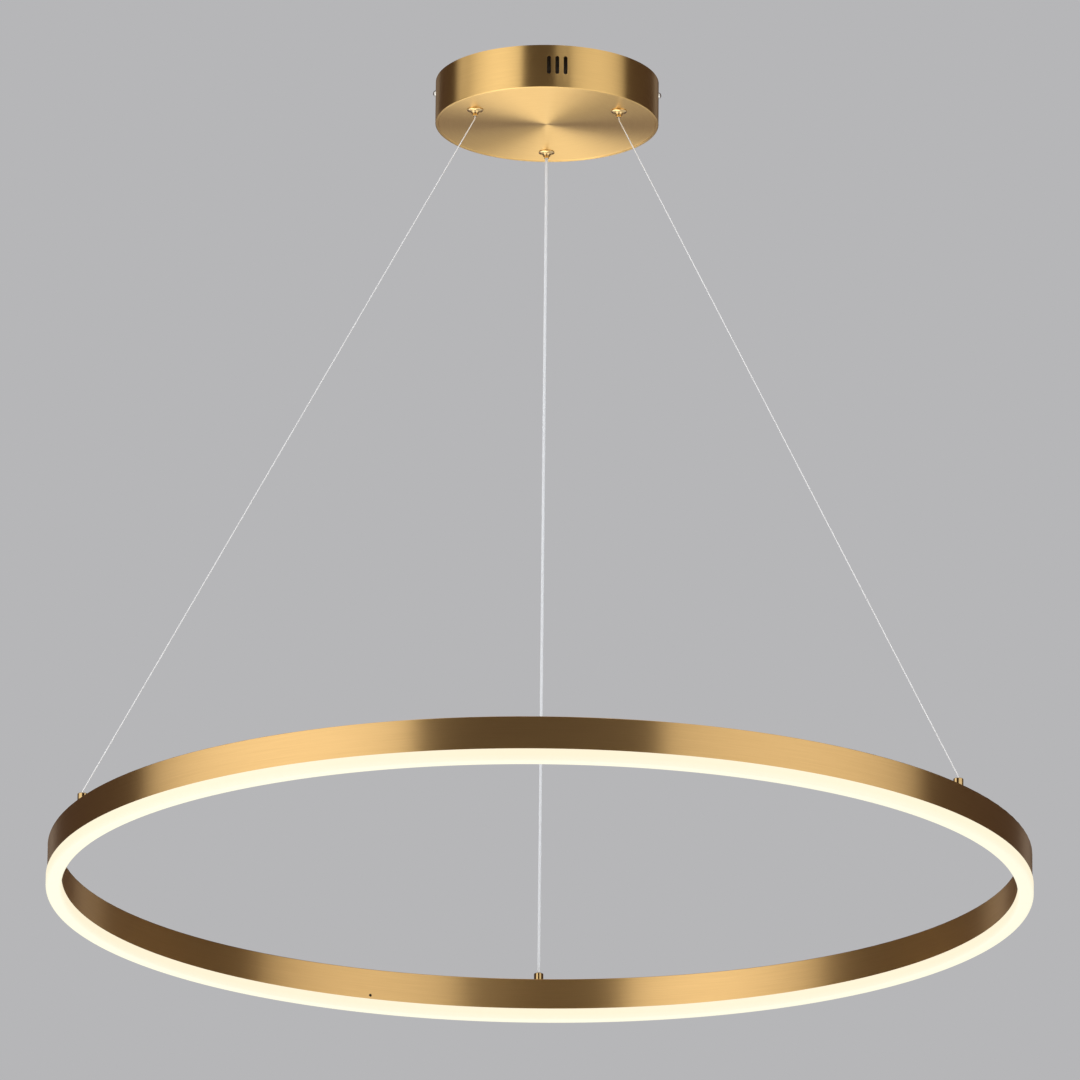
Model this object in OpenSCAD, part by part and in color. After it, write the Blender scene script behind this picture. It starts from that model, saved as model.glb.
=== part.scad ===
// Ring pendant light on three cables, hung from a round ceiling canopy.
// The origin is on the ceiling at the canopy's centre, +Z is up, +Y is the back.
// All sizes are in millimetres.

/* [Canopy] */
// Outer diameter of the canopy
canopy_d = 232; // [220:1:280]
// Height of the canopy
canopy_h = 46; // [45:1:60]
// Thickness of the canopy sheet
canopy_wall = 1.2; // [0.8:0.1:1.6]
// Width of the raised rim round the underside
rim_w = 3; // [2:0.5:5]
// How far the underside lies above the rim
rim_step = 0.6; // [0.3:0.1:1]
// Width of the sloping side of the rim
rim_slope = 0.6; // [0.3:0.1:1.2]
// Radius of the canopy's lower edge
canopy_edge_r = 1; // [0.5:0.1:1.5]
// Number of vent slots in the wall
vent_count = 3; // [1:1:5]
// Width of a vent slot
vent_w = 4.1; // [3:0.1:5]
// Height of a vent slot
vent_h = 20; // [12:1:22]
// Distance from one vent slot to the next
vent_pitch = 8.6; // [7:0.1:12]
// Depth of the vent slots' centres below the ceiling
vent_z = 21.5; // [18:0.5:24]
// Turn of the vent slots from the front towards the right
vent_turn = 5; // [0:1:20]

/* [Mounting bracket] */
// Width of the crossbar
bracket_w = 24; // [20:1:30]
// Thickness of the crossbar and its ears
bracket_t = 2; // [1.5:0.1:3]
// Height of the ears at the ends
ear_h = 20; // [18:1:26]
// Distance between the centres of the ceiling slots
slot_spacing = 140; // [130:1:150]
// Width of a ceiling slot
slot_w = 5.2; // [4:0.1:6.5]
// Length of a ceiling slot, end to end
slot_len = 30; // [15:1:34]
// Diameter of the cable entry hole
entry_d = 16; // [10:1:18]
// Depth of the canopy screws below the ceiling
side_screw_z = 12.6; // [11:0.2:14]
// Thread diameter of the canopy screws
side_screw_d = 4; // [3:0.5:5]
// Head diameter of the canopy screws
side_head_d = 7; // [6:0.5:9]
// Height of the domed heads
side_head_h = 2.8; // [2:0.1:3.2]
// Clearance between the ears and the canopy wall
ear_gap = 0.3; // [0.2:0.1:1]

/* [Terminal block] */
// Length of the terminal block
terminal_l = 27; // [24:1:30]
// Width of the terminal block
terminal_w = 16; // [14:1:19]
// Height of the terminal block
terminal_h = 11; // [9:1:12]
// Distance of the terminal block from the centre of the bracket
terminal_x = 30; // [28:0.5:32]
// Distance of the earth screw from the centre of the bracket
earth_x = 30; // [24:1:40]

/* [Driver] */
// Length of the driver case
driver_l = 104; // [90:1:112]
// Width of the driver case
driver_w = 38; // [32:1:44]
// Height of the driver with its lid
driver_h = 21; // [20:0.5:22]
// Wall thickness of the driver case
driver_wall = 1.4; // [1:0.1:2]
// Length of the fixing tabs
driver_tab = 9; // [8:0.5:10]
// Thickness of the fixing tabs
driver_tab_t = 1.6; // [1:0.1:2.5]
// Diameter of the welded studs that hold the driver
weld_stud_d = 3; // [3:0.5:4]
// Thickness of the circuit board
board_t = 1.6; // [1:0.1:2]
// Height of the posts under the circuit board
post_h = 2.5; // [2:0.1:4]
// Diameter of the insulated leads
lead_d = 1.8; // [1.4:0.1:2.2]

/* [Cable grippers] */
// Distance of the three grippers from the canopy's wall
gripper_inset = 30; // [26:0.5:33]
// Diameter of the flange
flange_d = 16.6; // [15:0.2:18]
// Thickness of the flange's edge
flange_t = 0.8; // [0.5:0.1:1.2]
// Height of the flange and neck below the canopy
neck_drop = 4.6; // [3.5:0.1:6]
// Thread diameter of the gripper
thread_d = 10; // [9.6:0.2:12]
// Length of the threaded shank inside the canopy
shank_h = 20; // [19:0.5:22]
// Diameter of the release tip
tip_d = 5.2; // [5:0.1:5.4]
// Travel of the tip when it is pushed in
tip_travel = 2; // [1:0.5:3]
// What still stands out of the neck when the tip is pushed in
tip_stay = 0.6; // [0.3:0.1:1.5]
// Height of the clamping balls above the canopy's underside
ball_z = 6; // [5.6:0.1:6.4]
// Wire diameter of the return springs
spring_wire_d = 0.4; // [0.3:0.05:0.5]
// Number of curls in a return spring
spring_turns = 6; // [4:1:7]

/* [Cables] */
// Diameter of the steel suspension cables
cable_d = 1.2; // [1:0.1:1.5]
// Diameter of the clear jacket of the back cable
jacket_d = 3.2; // [3:0.1:3.6]
// Diameter of the stranded core of the back cable
core_d = 2.3; // [1.8:0.1:2.4]
// Radius of the cables' bends at both ends
bend_r = 8; // [6:0.5:12]
// Drop from the canopy's rim to the top of the ring
drop = 788; // [600:1:1500]

/* [Ring] */
// Outer diameter of the ring channel
ring_d = 1000; // [800:1:1200]
// Width of the ring channel
ring_w = 12.5; // [12:0.1:16]
// Height of the ring channel
ring_h = 33; // [30:1:45]
// Thickness of the channel's sheet
ring_wall = 1; // [0.8:0.1:1.2]
// Radius of the channel's upper edges
ring_edge_r = 0.8; // [0.4:0.1:0.8]
// Bearing of the right anchor, from the back
anchor_turn_right = 123; // [115:0.5:125]
// Bearing of the left anchor, from the back
anchor_turn_left = -112; // [-125:0.5:-110]
// Diameter of an anchor stud's head
anchor_d = 10; // [8:0.2:10.8]
// Height of an anchor stud's head
anchor_h = 7.5; // [6.5:0.5:12]
// Thread diameter of an anchor stud
anchor_thread_d = 6; // [5.8:0.1:6.5]
// Height of the anchor nuts
anchor_nut_h = 3; // [2:0.2:4]

/* [Diffuser] */
// Height of the diffuser below the channel
diffuser_show = 12; // [8:0.5:20]
// How far the diffuser stands out past the channel's outer wall
lip_out = 1.2; // [0.5:0.1:2]
// How far the diffuser stands in past the channel's inner wall
lip_in = 2.3; // [0.5:0.1:3]
// Wall thickness of the diffuser
diffuser_wall = 1.8; // [1.2:0.1:2]
// Height of the diffuser's neck inside the channel
neck_h = 8; // [7:0.5:12]
// Clearance of the neck in the channel
neck_gap = 0.25; // [0.1:0.05:0.4]
// Radius of the diffuser's lower edges
diffuser_edge_r = 3; // [1:0.2:3.4]
// Bearing of the first diffuser screw, from the back
diffuser_screw_turn = -21.4; // [-30:0.2:-10]
// Diameter of the diffuser screws
diffuser_screw_d = 3; // [2.5:0.1:3]
// Height of the diffuser screws above the channel's lower edge
diffuser_screw_z = 4.5; // [4:0.1:5]

/* [Light source] */
// Height of the carrier under the channel's web
carrier_h = 8; // [7:0.5:9]
// Thickness of the carrier
carrier_t = 1; // [0.8:0.1:1.2]
// Length of the gap in the carrier at each anchor
carrier_gap = 20; // [16:1:30]
// Width of the LED board
led_board_w = 8; // [6:0.2:8.4]
// Thickness of the LED board
led_board_t = 1.2; // [0.8:0.1:1.6]
// Number of LED board arcs
led_board_count = 4; // [2:1:8]
// Number of LED chips on each arc
chips_per_board = 30; // [10:1:40]

/* [Hidden] */
$fn = 64;
clear_fixed = 0.1;
clear_thread = 0.05;
clear_stem = 0.15;
clear_ball = 0.1;
clear_wire = 0.25;
clear_screw = 0.25;
clear_nut = 0.25;
cut = 1;

canopy_r = canopy_d / 2;
gripper_circle_r = canopy_r - gripper_inset;
under_z = rim_step - canopy_h;
floor_z = under_z + canopy_wall;
ring_r = ring_d / 2;
ring_inner_r = ring_r - ring_w;
ring_mid_r = ring_r - ring_w / 2;
ring_top_z = -canopy_h - drop;
ring_low_z = ring_top_z - ring_h;
channel_in_w = ring_w - 2 * ring_wall;

// Grippers and anchors: bearing from the back, cable diameter
gripper_turn = [-120, 120, 0];
anchor_turn = [anchor_turn_left, anchor_turn_right, 0];
end_cable_d = [cable_d, cable_d, jacket_d];

// Gripper, measured from the canopy's underside
clamp_slope = 0.15;
clamp_half_h = 3;
seat_z = ball_z - clamp_half_h;
clamp_top_z = ball_z + clamp_half_h;
stem_bore_r = tip_d / 2 + clear_stem;
seat_r = stem_bore_r + 0.15;
grip_r = seat_r + clamp_half_h * clamp_slope;
cavity_r = grip_r + clamp_half_h * clamp_slope;
neck_end_r = stem_bore_r + 1;
collar_t = 1.2;
collar_r = cavity_r - 0.3;
collar_top_z = clamp_top_z + collar_t;
tip_low_z = -neck_drop - tip_travel - tip_stay;
cable_lead = 0.5;
exit_z = tip_low_z - cable_lead;
plug_t = 2.5;
plug_low_z = shank_h - plug_t;
plug_head_t = 1.2;
plug_top_z = shank_h + plug_head_t;
washer_r = 8;
washer_t = 1;
gripper_nut_h = 4;
gripper_nut_r = thread_d * 0.86;
stop_r = 1.8;
stop_h = 6;
tail_over = 0.8;
tail_top_z = plug_top_z + clear_wire + stop_h + tail_over;

// Anchors, measured from the ring's top
anchor_roof_t = 2;
ferrule_h = 5;
ferrule_wall = 0.6;
ferrule_r = [1.9, 1.9, jacket_d / 2 + ferrule_wall];
ferrule_top_z = anchor_h - anchor_roof_t - clear_fixed;
ferrule_gap = 0.1;
anchor_shank_h = ring_wall + anchor_nut_h + 0.6;
anchor_nut_af = channel_in_w - 2 * clear_nut;
mouth_z = anchor_h + cable_lead;
core_end_z = -anchor_shank_h - 0.6;
core_bore_d = core_d + 2 * clear_thread;

// Driver and terminal block
driver_z = floor_z;
lid_t = 1.4;
tab_hole_d = weld_stud_d + 0.4;
weld_stud_x = driver_l / 2 + driver_tab / 2;
weld_stud_h = driver_tab_t + 4;
driver_nut_h = 2.4;
board_z = driver_z + driver_wall + post_h;
board_top_z = board_z + board_t;
board_gap = 0.5;
driver_lead_z = driver_z + driver_h * 0.6;
driver_lead_gap = 6;
terminal_z = -bracket_t - terminal_h;
pole_count = 3;
pole_pitch = terminal_l / pole_count;
pole_z = terminal_z + terminal_h * 0.4;
pole_hole_d = lead_d + 0.6;
pole_screw_d = 3;
pole_screw_y = terminal_w * 0.25;
fixing_x = terminal_x - pole_pitch / 2;
fixing_d = 3;
fixing_head_d = 5.4;
fixing_head_h = 2;
earth_d = 4;
earth_head_d = 7;
eyelet_t = 1;
crimp_d = 3;
crimp_l = 5;
crimp_y = earth_head_d / 2 + 0.1;
crimp_z = -bracket_t - 0.3 - crimp_d / 2;
plug_w = 12;
plug_h = 9;
plug_l = 18;
plug_x = -4;
plug_y = 46;
plug_z = floor_z + plug_h / 2;
tail_loop = 16;

// Light source, measured from the ring's top
carrier_low_z = -ring_wall - carrier_h;
led_board_z = carrier_low_z - led_board_t;
chip = [3.5, 2.8, 0.8];
diffuser_screw_bite = 1;

brass = [0.78, 0.60, 0.34];
polished_brass = [0.86, 0.68, 0.32];
zinc = [0.72, 0.73, 0.74];
steel = [0.80, 0.81, 0.82];
nickel = [0.82, 0.82, 0.79];

// Point at a bearing from the back, on a circle
function at_turn(turn, r, z) = [r * sin(turn), r * cos(turn), z];

function gripper_point(i, z) = at_turn(gripper_turn[i], gripper_circle_r, under_z + z);
function anchor_point(i, z) = at_turn(anchor_turn[i], ring_mid_r, ring_top_z + z);

// Smooth curve through hand-chosen points
function curve_point(a, b, c, d, t) =
    0.5 * (2 * b + t * (c - a) + t * t * (2 * a - 5 * b + 4 * c - d) + t * t * t * (3 * b - a - 3 * c + d));
function smooth_path(p, steps) = concat(
    [for (i = [0 : len(p) - 2], k = [0 : steps - 1])
        curve_point(p[max(i - 1, 0)], p[i], p[i + 1], p[min(i + 2, len(p) - 1)], k / steps)],
    [p[len(p) - 1]]
);

function unit(v) = v / norm(v);
function headings(p) = [for (i = [0 : len(p) - 1]) unit(p[min(i + 1, len(p) - 1)] - p[max(i - 1, 0)])];
function square_to(v, t) = unit(v - (v * t) * t);
function side_vectors(t, v, i = 0) =
    i == len(t) ? [] : concat([square_to(v, t[i])], side_vectors(t, square_to(v, t[i]), i + 1));

// Solid round tube swept along a path
module tube(path, d, sides = 8) {
    heading = headings(path);
    first = abs(heading[0].z) > 0.8 ? [1, 0, 0] : [0, 0, 1];
    side = side_vectors(heading, square_to(first, heading[0]));
    rings = len(path);
    points = [for (i = [0 : rings - 1], k = [0 : sides - 1])
        let (up = cross(heading[i], side[i]))
        path[i] + d / 2 * (cos(360 * k / sides) * side[i] + sin(360 * k / sides) * up)];
    corners = [for (i = [0 : rings - 2], k = [0 : sides - 1])
        [i * sides + k, (i + 1) * sides + k, (i + 1) * sides + (k + 1) % sides, i * sides + (k + 1) % sides]];
    walls = [for (c = corners, half = [0, 1]) half == 0 ? [c[0], c[1], c[2]] : [c[0], c[2], c[3]]];
    start_cap = [for (k = [0 : sides - 1]) k];
    end_cap = [for (k = [0 : sides - 1]) rings * sides - 1 - k];
    polyhedron(points, concat(walls, [start_cap, end_cap]), convexity = 4);
}

// Taut cable between a vertical start and a vertical end, with a bend at each;
// its cross-section is the child
module cable_run(from, to) {
    run = [to.x - from.x, to.y - from.y];
    across = norm(run) - 2 * bend_r;
    down = from.z - to.z;
    lean = atan2(across, down) + asin(2 * bend_r / sqrt(down * down + across * across));
    straight = (down - 2 * bend_r * sin(lean)) / cos(lean);
    translate(from)
        rotate([0, 0, atan2(run.y, run.x)])
            translate([bend_r * (1 - cos(lean)), 0, -bend_r * sin(lean)])
                rotate([0, 180 - lean, 0]) {
                    linear_extrude(straight)
                        children();
                    cable_bend(lean)
                        children();
                    translate([0, 0, straight])
                        rotate([0, 180, 0])
                            cable_bend(lean)
                                children();
                }
}

// Bend that ends at the origin, along Z
module cable_bend(lean) {
    translate([-bend_r, 0, 0])
        rotate([-90, 0, 0])
            rotate_extrude(angle = lean, $fn = 96)
                translate([bend_r, 0])
                    children();
}

// Rectangle whose lower corners are round
module low_round_square(x0, z0, x1, z1, r) {
    translate([x0, z0 + r])
        square([x1 - x0, z1 - z0 - r]);
    translate([x0 + r, z0])
        square([x1 - x0 - 2 * r, r]);
    for (x = [x0 + r, x1 - r])
        translate([x, z0 + r])
            circle(r);
}

module at_grippers() {
    for (i = [0 : 2])
        translate(gripper_point(i, 0))
            children();
}

module at_anchor(i) {
    translate(anchor_point(i, 0))
        rotate([0, 0, 90 - anchor_turn[i]])
            children();
}

// Domed screw along +X, with its head's seat at the origin
module domed_screw(thread, head, head_h, length) {
    dome_r = (head * head / 4 + head_h * head_h) / (2 * head_h);
    rotate([0, 90, 0])
        intersection() {
            cylinder(d = head, h = head_h);
            translate([0, 0, head_h - dome_r])
                sphere(dome_r, $fn = 96);
        }
    rotate([0, -90, 0])
        cylinder(d = thread, h = length);
}

module canopy_profile() {
    difference() {
        low_round_square(-canopy_r, -canopy_h, canopy_r, 0, canopy_edge_r);
        translate([-canopy_r - cut, -canopy_h - cut])
            square([canopy_r + cut, canopy_h + 2 * cut]);
        translate([-cut, floor_z])
            square([canopy_r - canopy_wall + cut, canopy_h]);
        polygon([
            [-cut, under_z],
            [canopy_r - rim_w - rim_slope, under_z],
            [canopy_r - rim_w, -canopy_h],
            [canopy_r - rim_w, -canopy_h - cut],
            [-cut, -canopy_h - cut]
        ]);
    }
}

module vent_slot() {
    reach = 6 * canopy_wall;
    rotate([90, 0, 0])
        linear_extrude(reach, center = true) {
            square([vent_w, vent_h - vent_w], center = true);
            for (z = [-1, 1])
                translate([0, z * (vent_h - vent_w) / 2])
                    circle(d = vent_w);
        }
}

module canopy_shell() {
    vent_step = 360 * vent_pitch / (PI * canopy_d);
    color(brass)
        difference() {
            union() {
                rotate_extrude($fn = 180)
                    canopy_profile();
                for (side = [-1, 1])
                    translate([side * weld_stud_x, 0, floor_z - canopy_wall / 2])
                        cylinder(d = weld_stud_d, h = weld_stud_h + canopy_wall / 2);
            }
            at_grippers()
                translate([0, 0, -cut])
                    cylinder(d = thread_d + 0.4, h = canopy_wall + 2 * cut);
            for (i = [0 : vent_count - 1])
                rotate([0, 0, vent_turn + (i - (vent_count - 1) / 2) * vent_step])
                    translate([0, -canopy_r, -vent_z])
                        vent_slot();
            for (side = [-1, 1])
                translate([side * canopy_r, 0, -side_screw_z])
                    rotate([0, 90, 0])
                        cylinder(d = side_screw_d + 0.4, h = 4 * canopy_wall, center = true);
        }
}

module mounting_bracket() {
    half = canopy_r - canopy_wall - ear_gap;
    ear_x = sqrt(half * half - bracket_w * bracket_w / 4);
    color(zinc)
        difference() {
            union() {
                translate([-ear_x, -bracket_w / 2, -bracket_t])
                    cube([2 * ear_x, bracket_w, bracket_t]);
                for (side = [-1, 1])
                    translate([side * (ear_x - bracket_t / 2), 0, -ear_h / 2])
                        cube([bracket_t, bracket_w, ear_h], center = true);
            }
            for (side = [-1, 1]) {
                translate([side * slot_spacing / 2, 0, -bracket_t - cut])
                    linear_extrude(bracket_t + 2 * cut) {
                        square([slot_len - slot_w, slot_w], center = true);
                        for (end = [-1, 1])
                            translate([end * (slot_len - slot_w) / 2, 0])
                                circle(d = slot_w);
                    }
                translate([side * ear_x, 0, -side_screw_z])
                    rotate([0, 90, 0])
                        cylinder(d = side_screw_d, h = 4 * bracket_t, center = true);
            }
            for (hole = [[0, entry_d], [-earth_x, earth_d], [fixing_x, fixing_d]])
                translate([hole.x, 0, -bracket_t - cut])
                    cylinder(d = hole.y, h = bracket_t + 2 * cut);
        }
}

module canopy_screws() {
    color(nickel)
        for (side = [0, 180])
            rotate([0, 0, side])
                translate([canopy_r, 0, -side_screw_z])
                    domed_screw(side_screw_d - 2 * clear_thread, side_head_d, side_head_h, canopy_wall + 8);
}

function pole_x(i) = terminal_x + (i - (pole_count - 1) / 2) * pole_pitch;

module terminal_block() {
    color([0.93, 0.93, 0.90])
        difference() {
            translate([terminal_x - terminal_l / 2, -terminal_w / 2, terminal_z])
                cube([terminal_l, terminal_w, terminal_h]);
            for (i = [0 : pole_count - 1]) {
                translate([pole_x(i), 0, pole_z])
                    rotate([90, 0, 0])
                        cylinder(d = pole_hole_d, h = terminal_w + 2 * cut, center = true, $fn = 24);
                for (side = [-1, 1])
                    translate([pole_x(i), side * pole_screw_y, terminal_z - cut])
                        cylinder(d = pole_screw_d + 0.2, h = pole_z - terminal_z - pole_hole_d / 2 + cut, $fn = 24);
            }
            translate([fixing_x, 0, terminal_z - cut]) {
                cylinder(d = fixing_d + 0.4, h = terminal_h + 2 * cut, $fn = 24);
                cylinder(d = fixing_head_d + 0.4, h = fixing_head_h + 0.2 + cut, $fn = 24);
            }
        }
}

module terminal_screws() {
    color(zinc)
        for (i = [0 : pole_count - 1], side = [-1, 1])
            translate([pole_x(i), side * pole_screw_y, terminal_z + 0.3])
                difference() {
                    cylinder(d = pole_screw_d, h = pole_z - terminal_z - pole_hole_d / 2 - 0.3, $fn = 24);
                    translate([-pole_screw_d, -0.3, -cut])
                        cube([2 * pole_screw_d, 0.6, cut + 0.7]);
                }
}

module terminal_fixing_screw() {
    color(zinc)
        translate([fixing_x, 0, terminal_z + 0.2])
            difference() {
                union() {
                    cylinder(d = fixing_head_d, h = fixing_head_h);
                    cylinder(d = fixing_d - 2 * clear_thread, h = terminal_h + bracket_t - 0.4);
                }
                translate([-fixing_head_d, -0.4, -cut])
                    cube([2 * fixing_head_d, 0.8, cut + 0.8]);
            }
}

module earth_screw() {
    head_h = 2.4;
    color(zinc)
        translate([-earth_x, 0, -bracket_t - eyelet_t])
            union() {
                translate([0, 0, -head_h])
                    cylinder(d = earth_head_d, h = head_h);
                cylinder(d = earth_d - 2 * clear_thread, h = bracket_t + eyelet_t - 0.2);
            }
}

// Ring terminal under the earth screw, with its crimp towards the terminal block
module earth_eyelet() {
    color([0.78, 0.78, 0.76])
        difference() {
            union() {
                translate([-earth_x, 0, -bracket_t - eyelet_t])
                    cylinder(d = earth_head_d + 1, h = eyelet_t);
                translate([-earth_x, crimp_y, crimp_z])
                    rotate([-90, 0, 0])
                        cylinder(d = crimp_d, h = crimp_l, $fn = 32);
            }
            translate([-earth_x, 0, -bracket_t - eyelet_t - cut])
                cylinder(d = earth_d + 0.3, h = eyelet_t + 2 * cut);
        }
}

module earth_lead() {
    loop_y = terminal_w / 2 + 14;
    color([0.35, 0.62, 0.20])
        tube(concat(
            [[pole_x(0), pole_screw_y - 1, pole_z]],
            smooth_path([
                [pole_x(0), terminal_w / 2 + 1, pole_z],
                [pole_x(0) - 1, terminal_w / 2 + 6, pole_z],
                [pole_x(0) - 8, loop_y, pole_z + 1],
                [0, loop_y + 2, pole_z + 1],
                [-earth_x + 8, loop_y - 2, crimp_z - 1],
                [-earth_x, crimp_y + crimp_l + 4, crimp_z],
                [-earth_x, crimp_y + crimp_l + 0.1, crimp_z]
            ], 4)
        ), lead_d);
}

// End of a lead inside the driver, from the case's wall down to the board
function lead_inside(side, y) = let (x = driver_l / 2) [
    [side * (x + 5), y, driver_lead_z],
    [side * (x + 1), y, driver_lead_z],
    [side * (x - driver_wall - 1), y, driver_lead_z],
    [side * (x - 6), y, driver_lead_z - 2],
    [side * (x - 8), y, (driver_lead_z + board_top_z) / 2],
    [side * (x - 8.5), y, board_top_z + 0.05]
];

module supply_leads() {
    side_y = terminal_w / 2;
    case_x = driver_l / 2;
    colours = [[0.45, 0.28, 0.16], [0.20, 0.35, 0.70]];
    for (i = [0, 1])
        color(colours[i])
            tube(concat(
                [[pole_x(i + 1), pole_screw_y - 1, pole_z]],
                smooth_path(concat([
                    [pole_x(i + 1), side_y + 1, pole_z],
                    [pole_x(i + 1), side_y + 7 - 2 * i, pole_z],
                    [pole_x(i + 1) + 9 - 2 * i, side_y + 18 - 7 * i, pole_z - 3],
                    [case_x + 8 - 2 * i, side_y + 20 - 7 * i, pole_z - 11],
                    [case_x + 24 - 7 * i, side_y + 7 - 3 * i, driver_lead_z + 3],
                    [case_x + 19 - 5 * i, driver_lead_gap * (i - 0.5) + 2 - i, driver_lead_z]
                ], lead_inside(1, driver_lead_gap * (i - 0.5))), 4)
            ), lead_d);
}

module driver_case() {
    color([0.92, 0.92, 0.90])
        difference() {
            union() {
                translate([-driver_l / 2, -driver_w / 2, driver_z])
                    cube([driver_l, driver_w, driver_h - lid_t]);
                translate([-driver_l / 2 - driver_tab, -driver_w / 4, driver_z])
                    cube([driver_l + 2 * driver_tab, driver_w / 2, driver_tab_t]);
            }
            difference() {
                translate([-driver_l / 2 + driver_wall, -driver_w / 2 + driver_wall, driver_z + driver_wall])
                    cube([driver_l - 2 * driver_wall, driver_w - 2 * driver_wall, driver_h]);
                for (x = [-1, 1], y = [-1, 1])
                    translate([x * (driver_l / 2 - 7), y * (driver_w / 2 - 6), driver_z])
                        cylinder(d = 5, h = driver_wall + post_h);
            }
            for (side = [-1, 1]) {
                translate([side * weld_stud_x, 0, driver_z - cut])
                    cylinder(d = tab_hole_d, h = driver_tab_t + 2 * cut);
                for (y = [-1, 1])
                    translate([side * driver_l / 2, y * driver_lead_gap / 2, driver_lead_z])
                        rotate([0, 90, 0])
                            cylinder(d = lead_d + 0.8, h = 4 * driver_wall, center = true);
            }
        }
}

module driver_lid() {
    lip_gap = driver_wall + 0.3;
    color([0.88, 0.88, 0.86])
        translate([0, 0, driver_z + driver_h - lid_t]) {
            translate([-driver_l / 2, -driver_w / 2, 0])
                cube([driver_l, driver_w, lid_t]);
            difference() {
                translate([-driver_l / 2 + lip_gap, -driver_w / 2 + lip_gap, -2])
                    cube([driver_l - 2 * lip_gap, driver_w - 2 * lip_gap, 2.5]);
                translate([-driver_l / 2 + lip_gap + 1, -driver_w / 2 + lip_gap + 1, -3])
                    cube([driver_l - 2 * lip_gap - 2, driver_w - 2 * lip_gap - 2, 3]);
            }
        }
}

module driver_board() {
    board_l = driver_l - 2 * driver_wall - 2 * board_gap;
    board_w = driver_w - 2 * driver_wall - 2 * board_gap;
    color([0.10, 0.42, 0.22])
        translate([-board_l / 2, -board_w / 2, board_z])
            cube([board_l, board_w, board_t]);
}

module driver_transformer() {
    core_l = 20;
    core_w = 16;
    core_h = 10;
    color([0.16, 0.16, 0.17])
        translate([-core_l / 2, -core_w / 2, board_top_z])
            union() {
                cube([core_l, core_w, core_h]);
                translate([4, -2, 0])
                    cube([core_l - 8, core_w + 4, core_h - 1.5]);
            }
}

module driver_capacitors() {
    color([0.12, 0.14, 0.30]) {
        translate([driver_l * 0.27, 0, board_top_z])
            cylinder(d = 10, h = 10.5);
        translate([-driver_l * 0.27, 5, board_top_z])
            cylinder(d = 8, h = 9.5);
        translate([-driver_l * 0.27, -6, board_top_z])
            cylinder(d = 6, h = 9);
    }
}

module driver_nuts() {
    color(zinc)
        for (side = [-1, 1])
            translate([side * weld_stud_x, 0, driver_z + driver_tab_t])
                difference() {
                    cylinder(r = weld_stud_d, h = driver_nut_h, $fn = 6);
                    translate([0, 0, -cut])
                        cylinder(d = weld_stud_d + 2 * clear_thread, h = driver_nut_h + 2 * cut);
                }
}

// Two leads from the driver's left end round to the socket, one outside the other
module output_leads() {
    bow_x = -driver_l / 2 - 6;
    socket_x = plug_x - plug_l;
    colours = [[0.75, 0.12, 0.10], [0.10, 0.10, 0.11]];
    for (i = [0, 1]) {
        y = driver_lead_gap * (i - 0.5);
        bow_r = plug_y / 2 - y;
        color(colours[i])
            tube(smooth_path(concat(
                [for (k = [5 : -1 : 0]) lead_inside(-1, y)[k]],
                [for (turn = [30 : 30 : 150])
                    [bow_x - bow_r * 0.8 * sin(turn), plug_y / 2 - bow_r * cos(turn),
                        driver_lead_z + (plug_z - driver_lead_z) * turn / 180]],
                [[bow_x + 8, plug_y - y, plug_z], [socket_x - 4, plug_y - y, plug_z]],
                [[socket_x - 0.05, plug_y - y, plug_z]]
            ), 4), lead_d);
    }
}

module output_socket() {
    color([0.90, 0.89, 0.85])
        translate([plug_x - plug_l, plug_y - plug_w / 2, floor_z])
            difference() {
                cube([plug_l, plug_w, plug_h]);
                translate([plug_l - 8, 1.6, 1.6])
                    cube([8 + cut, plug_w - 3.2, plug_h - 3.2]);
            }
}

module output_plug() {
    color([0.90, 0.89, 0.85]) {
        translate([plug_x, plug_y - plug_w / 2, floor_z])
            cube([plug_l - 4, plug_w, plug_h]);
        translate([plug_x - 7.6, plug_y - plug_w / 2 + 2, floor_z + 2])
            cube([8, plug_w - 4, plug_h - 4]);
    }
}

module power_cable_tail() {
    tail_x = plug_x + plug_l - 4;
    start = gripper_point(2, exit_z);
    turn_z = under_z + plug_top_z + 3;
    color([0.86, 0.88, 0.88])
        tube(concat(
            [start, [start.x, start.y, under_z + plug_top_z]],
            smooth_path([
                [start.x, start.y, turn_z],
                [start.x + 4, start.y - 2, turn_z + 7],
                [start.x + 15, start.y - 9, turn_z + 9],
                [tail_x + tail_loop, plug_y + 1.1 * tail_loop, turn_z + 3],
                [tail_x + 1.3 * tail_loop, plug_y + tail_loop / 2, plug_z + 7],
                [tail_x + 0.9 * tail_loop, plug_y + 1, plug_z],
                [tail_x + 0.05, plug_y, plug_z]
            ], 4)
        ), jacket_d, 16);
}

// The neck below the flange is hollowed by an arc from the flange's edge to the neck's end
module gripper_body(i) {
    hollow_h = neck_drop - flange_t;
    hollow_w = flange_d / 2 - neck_end_r;
    arc_r = (hollow_w * hollow_w + hollow_h * hollow_h) / (2 * hollow_h);
    color(polished_brass)
        translate(gripper_point(i, 0))
            rotate_extrude()
                difference() {
                    polygon([
                        [thread_d / 2, shank_h],
                        [thread_d / 2, 0],
                        [flange_d / 2, 0],
                        [flange_d / 2, -neck_drop],
                        [stem_bore_r, -neck_drop],
                        [stem_bore_r, seat_z],
                        [seat_r, seat_z],
                        [cavity_r, clamp_top_z],
                        [cavity_r, shank_h]
                    ]);
                    translate([flange_d / 2, -flange_t - arc_r])
                        circle(arc_r);
                }
}

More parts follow.
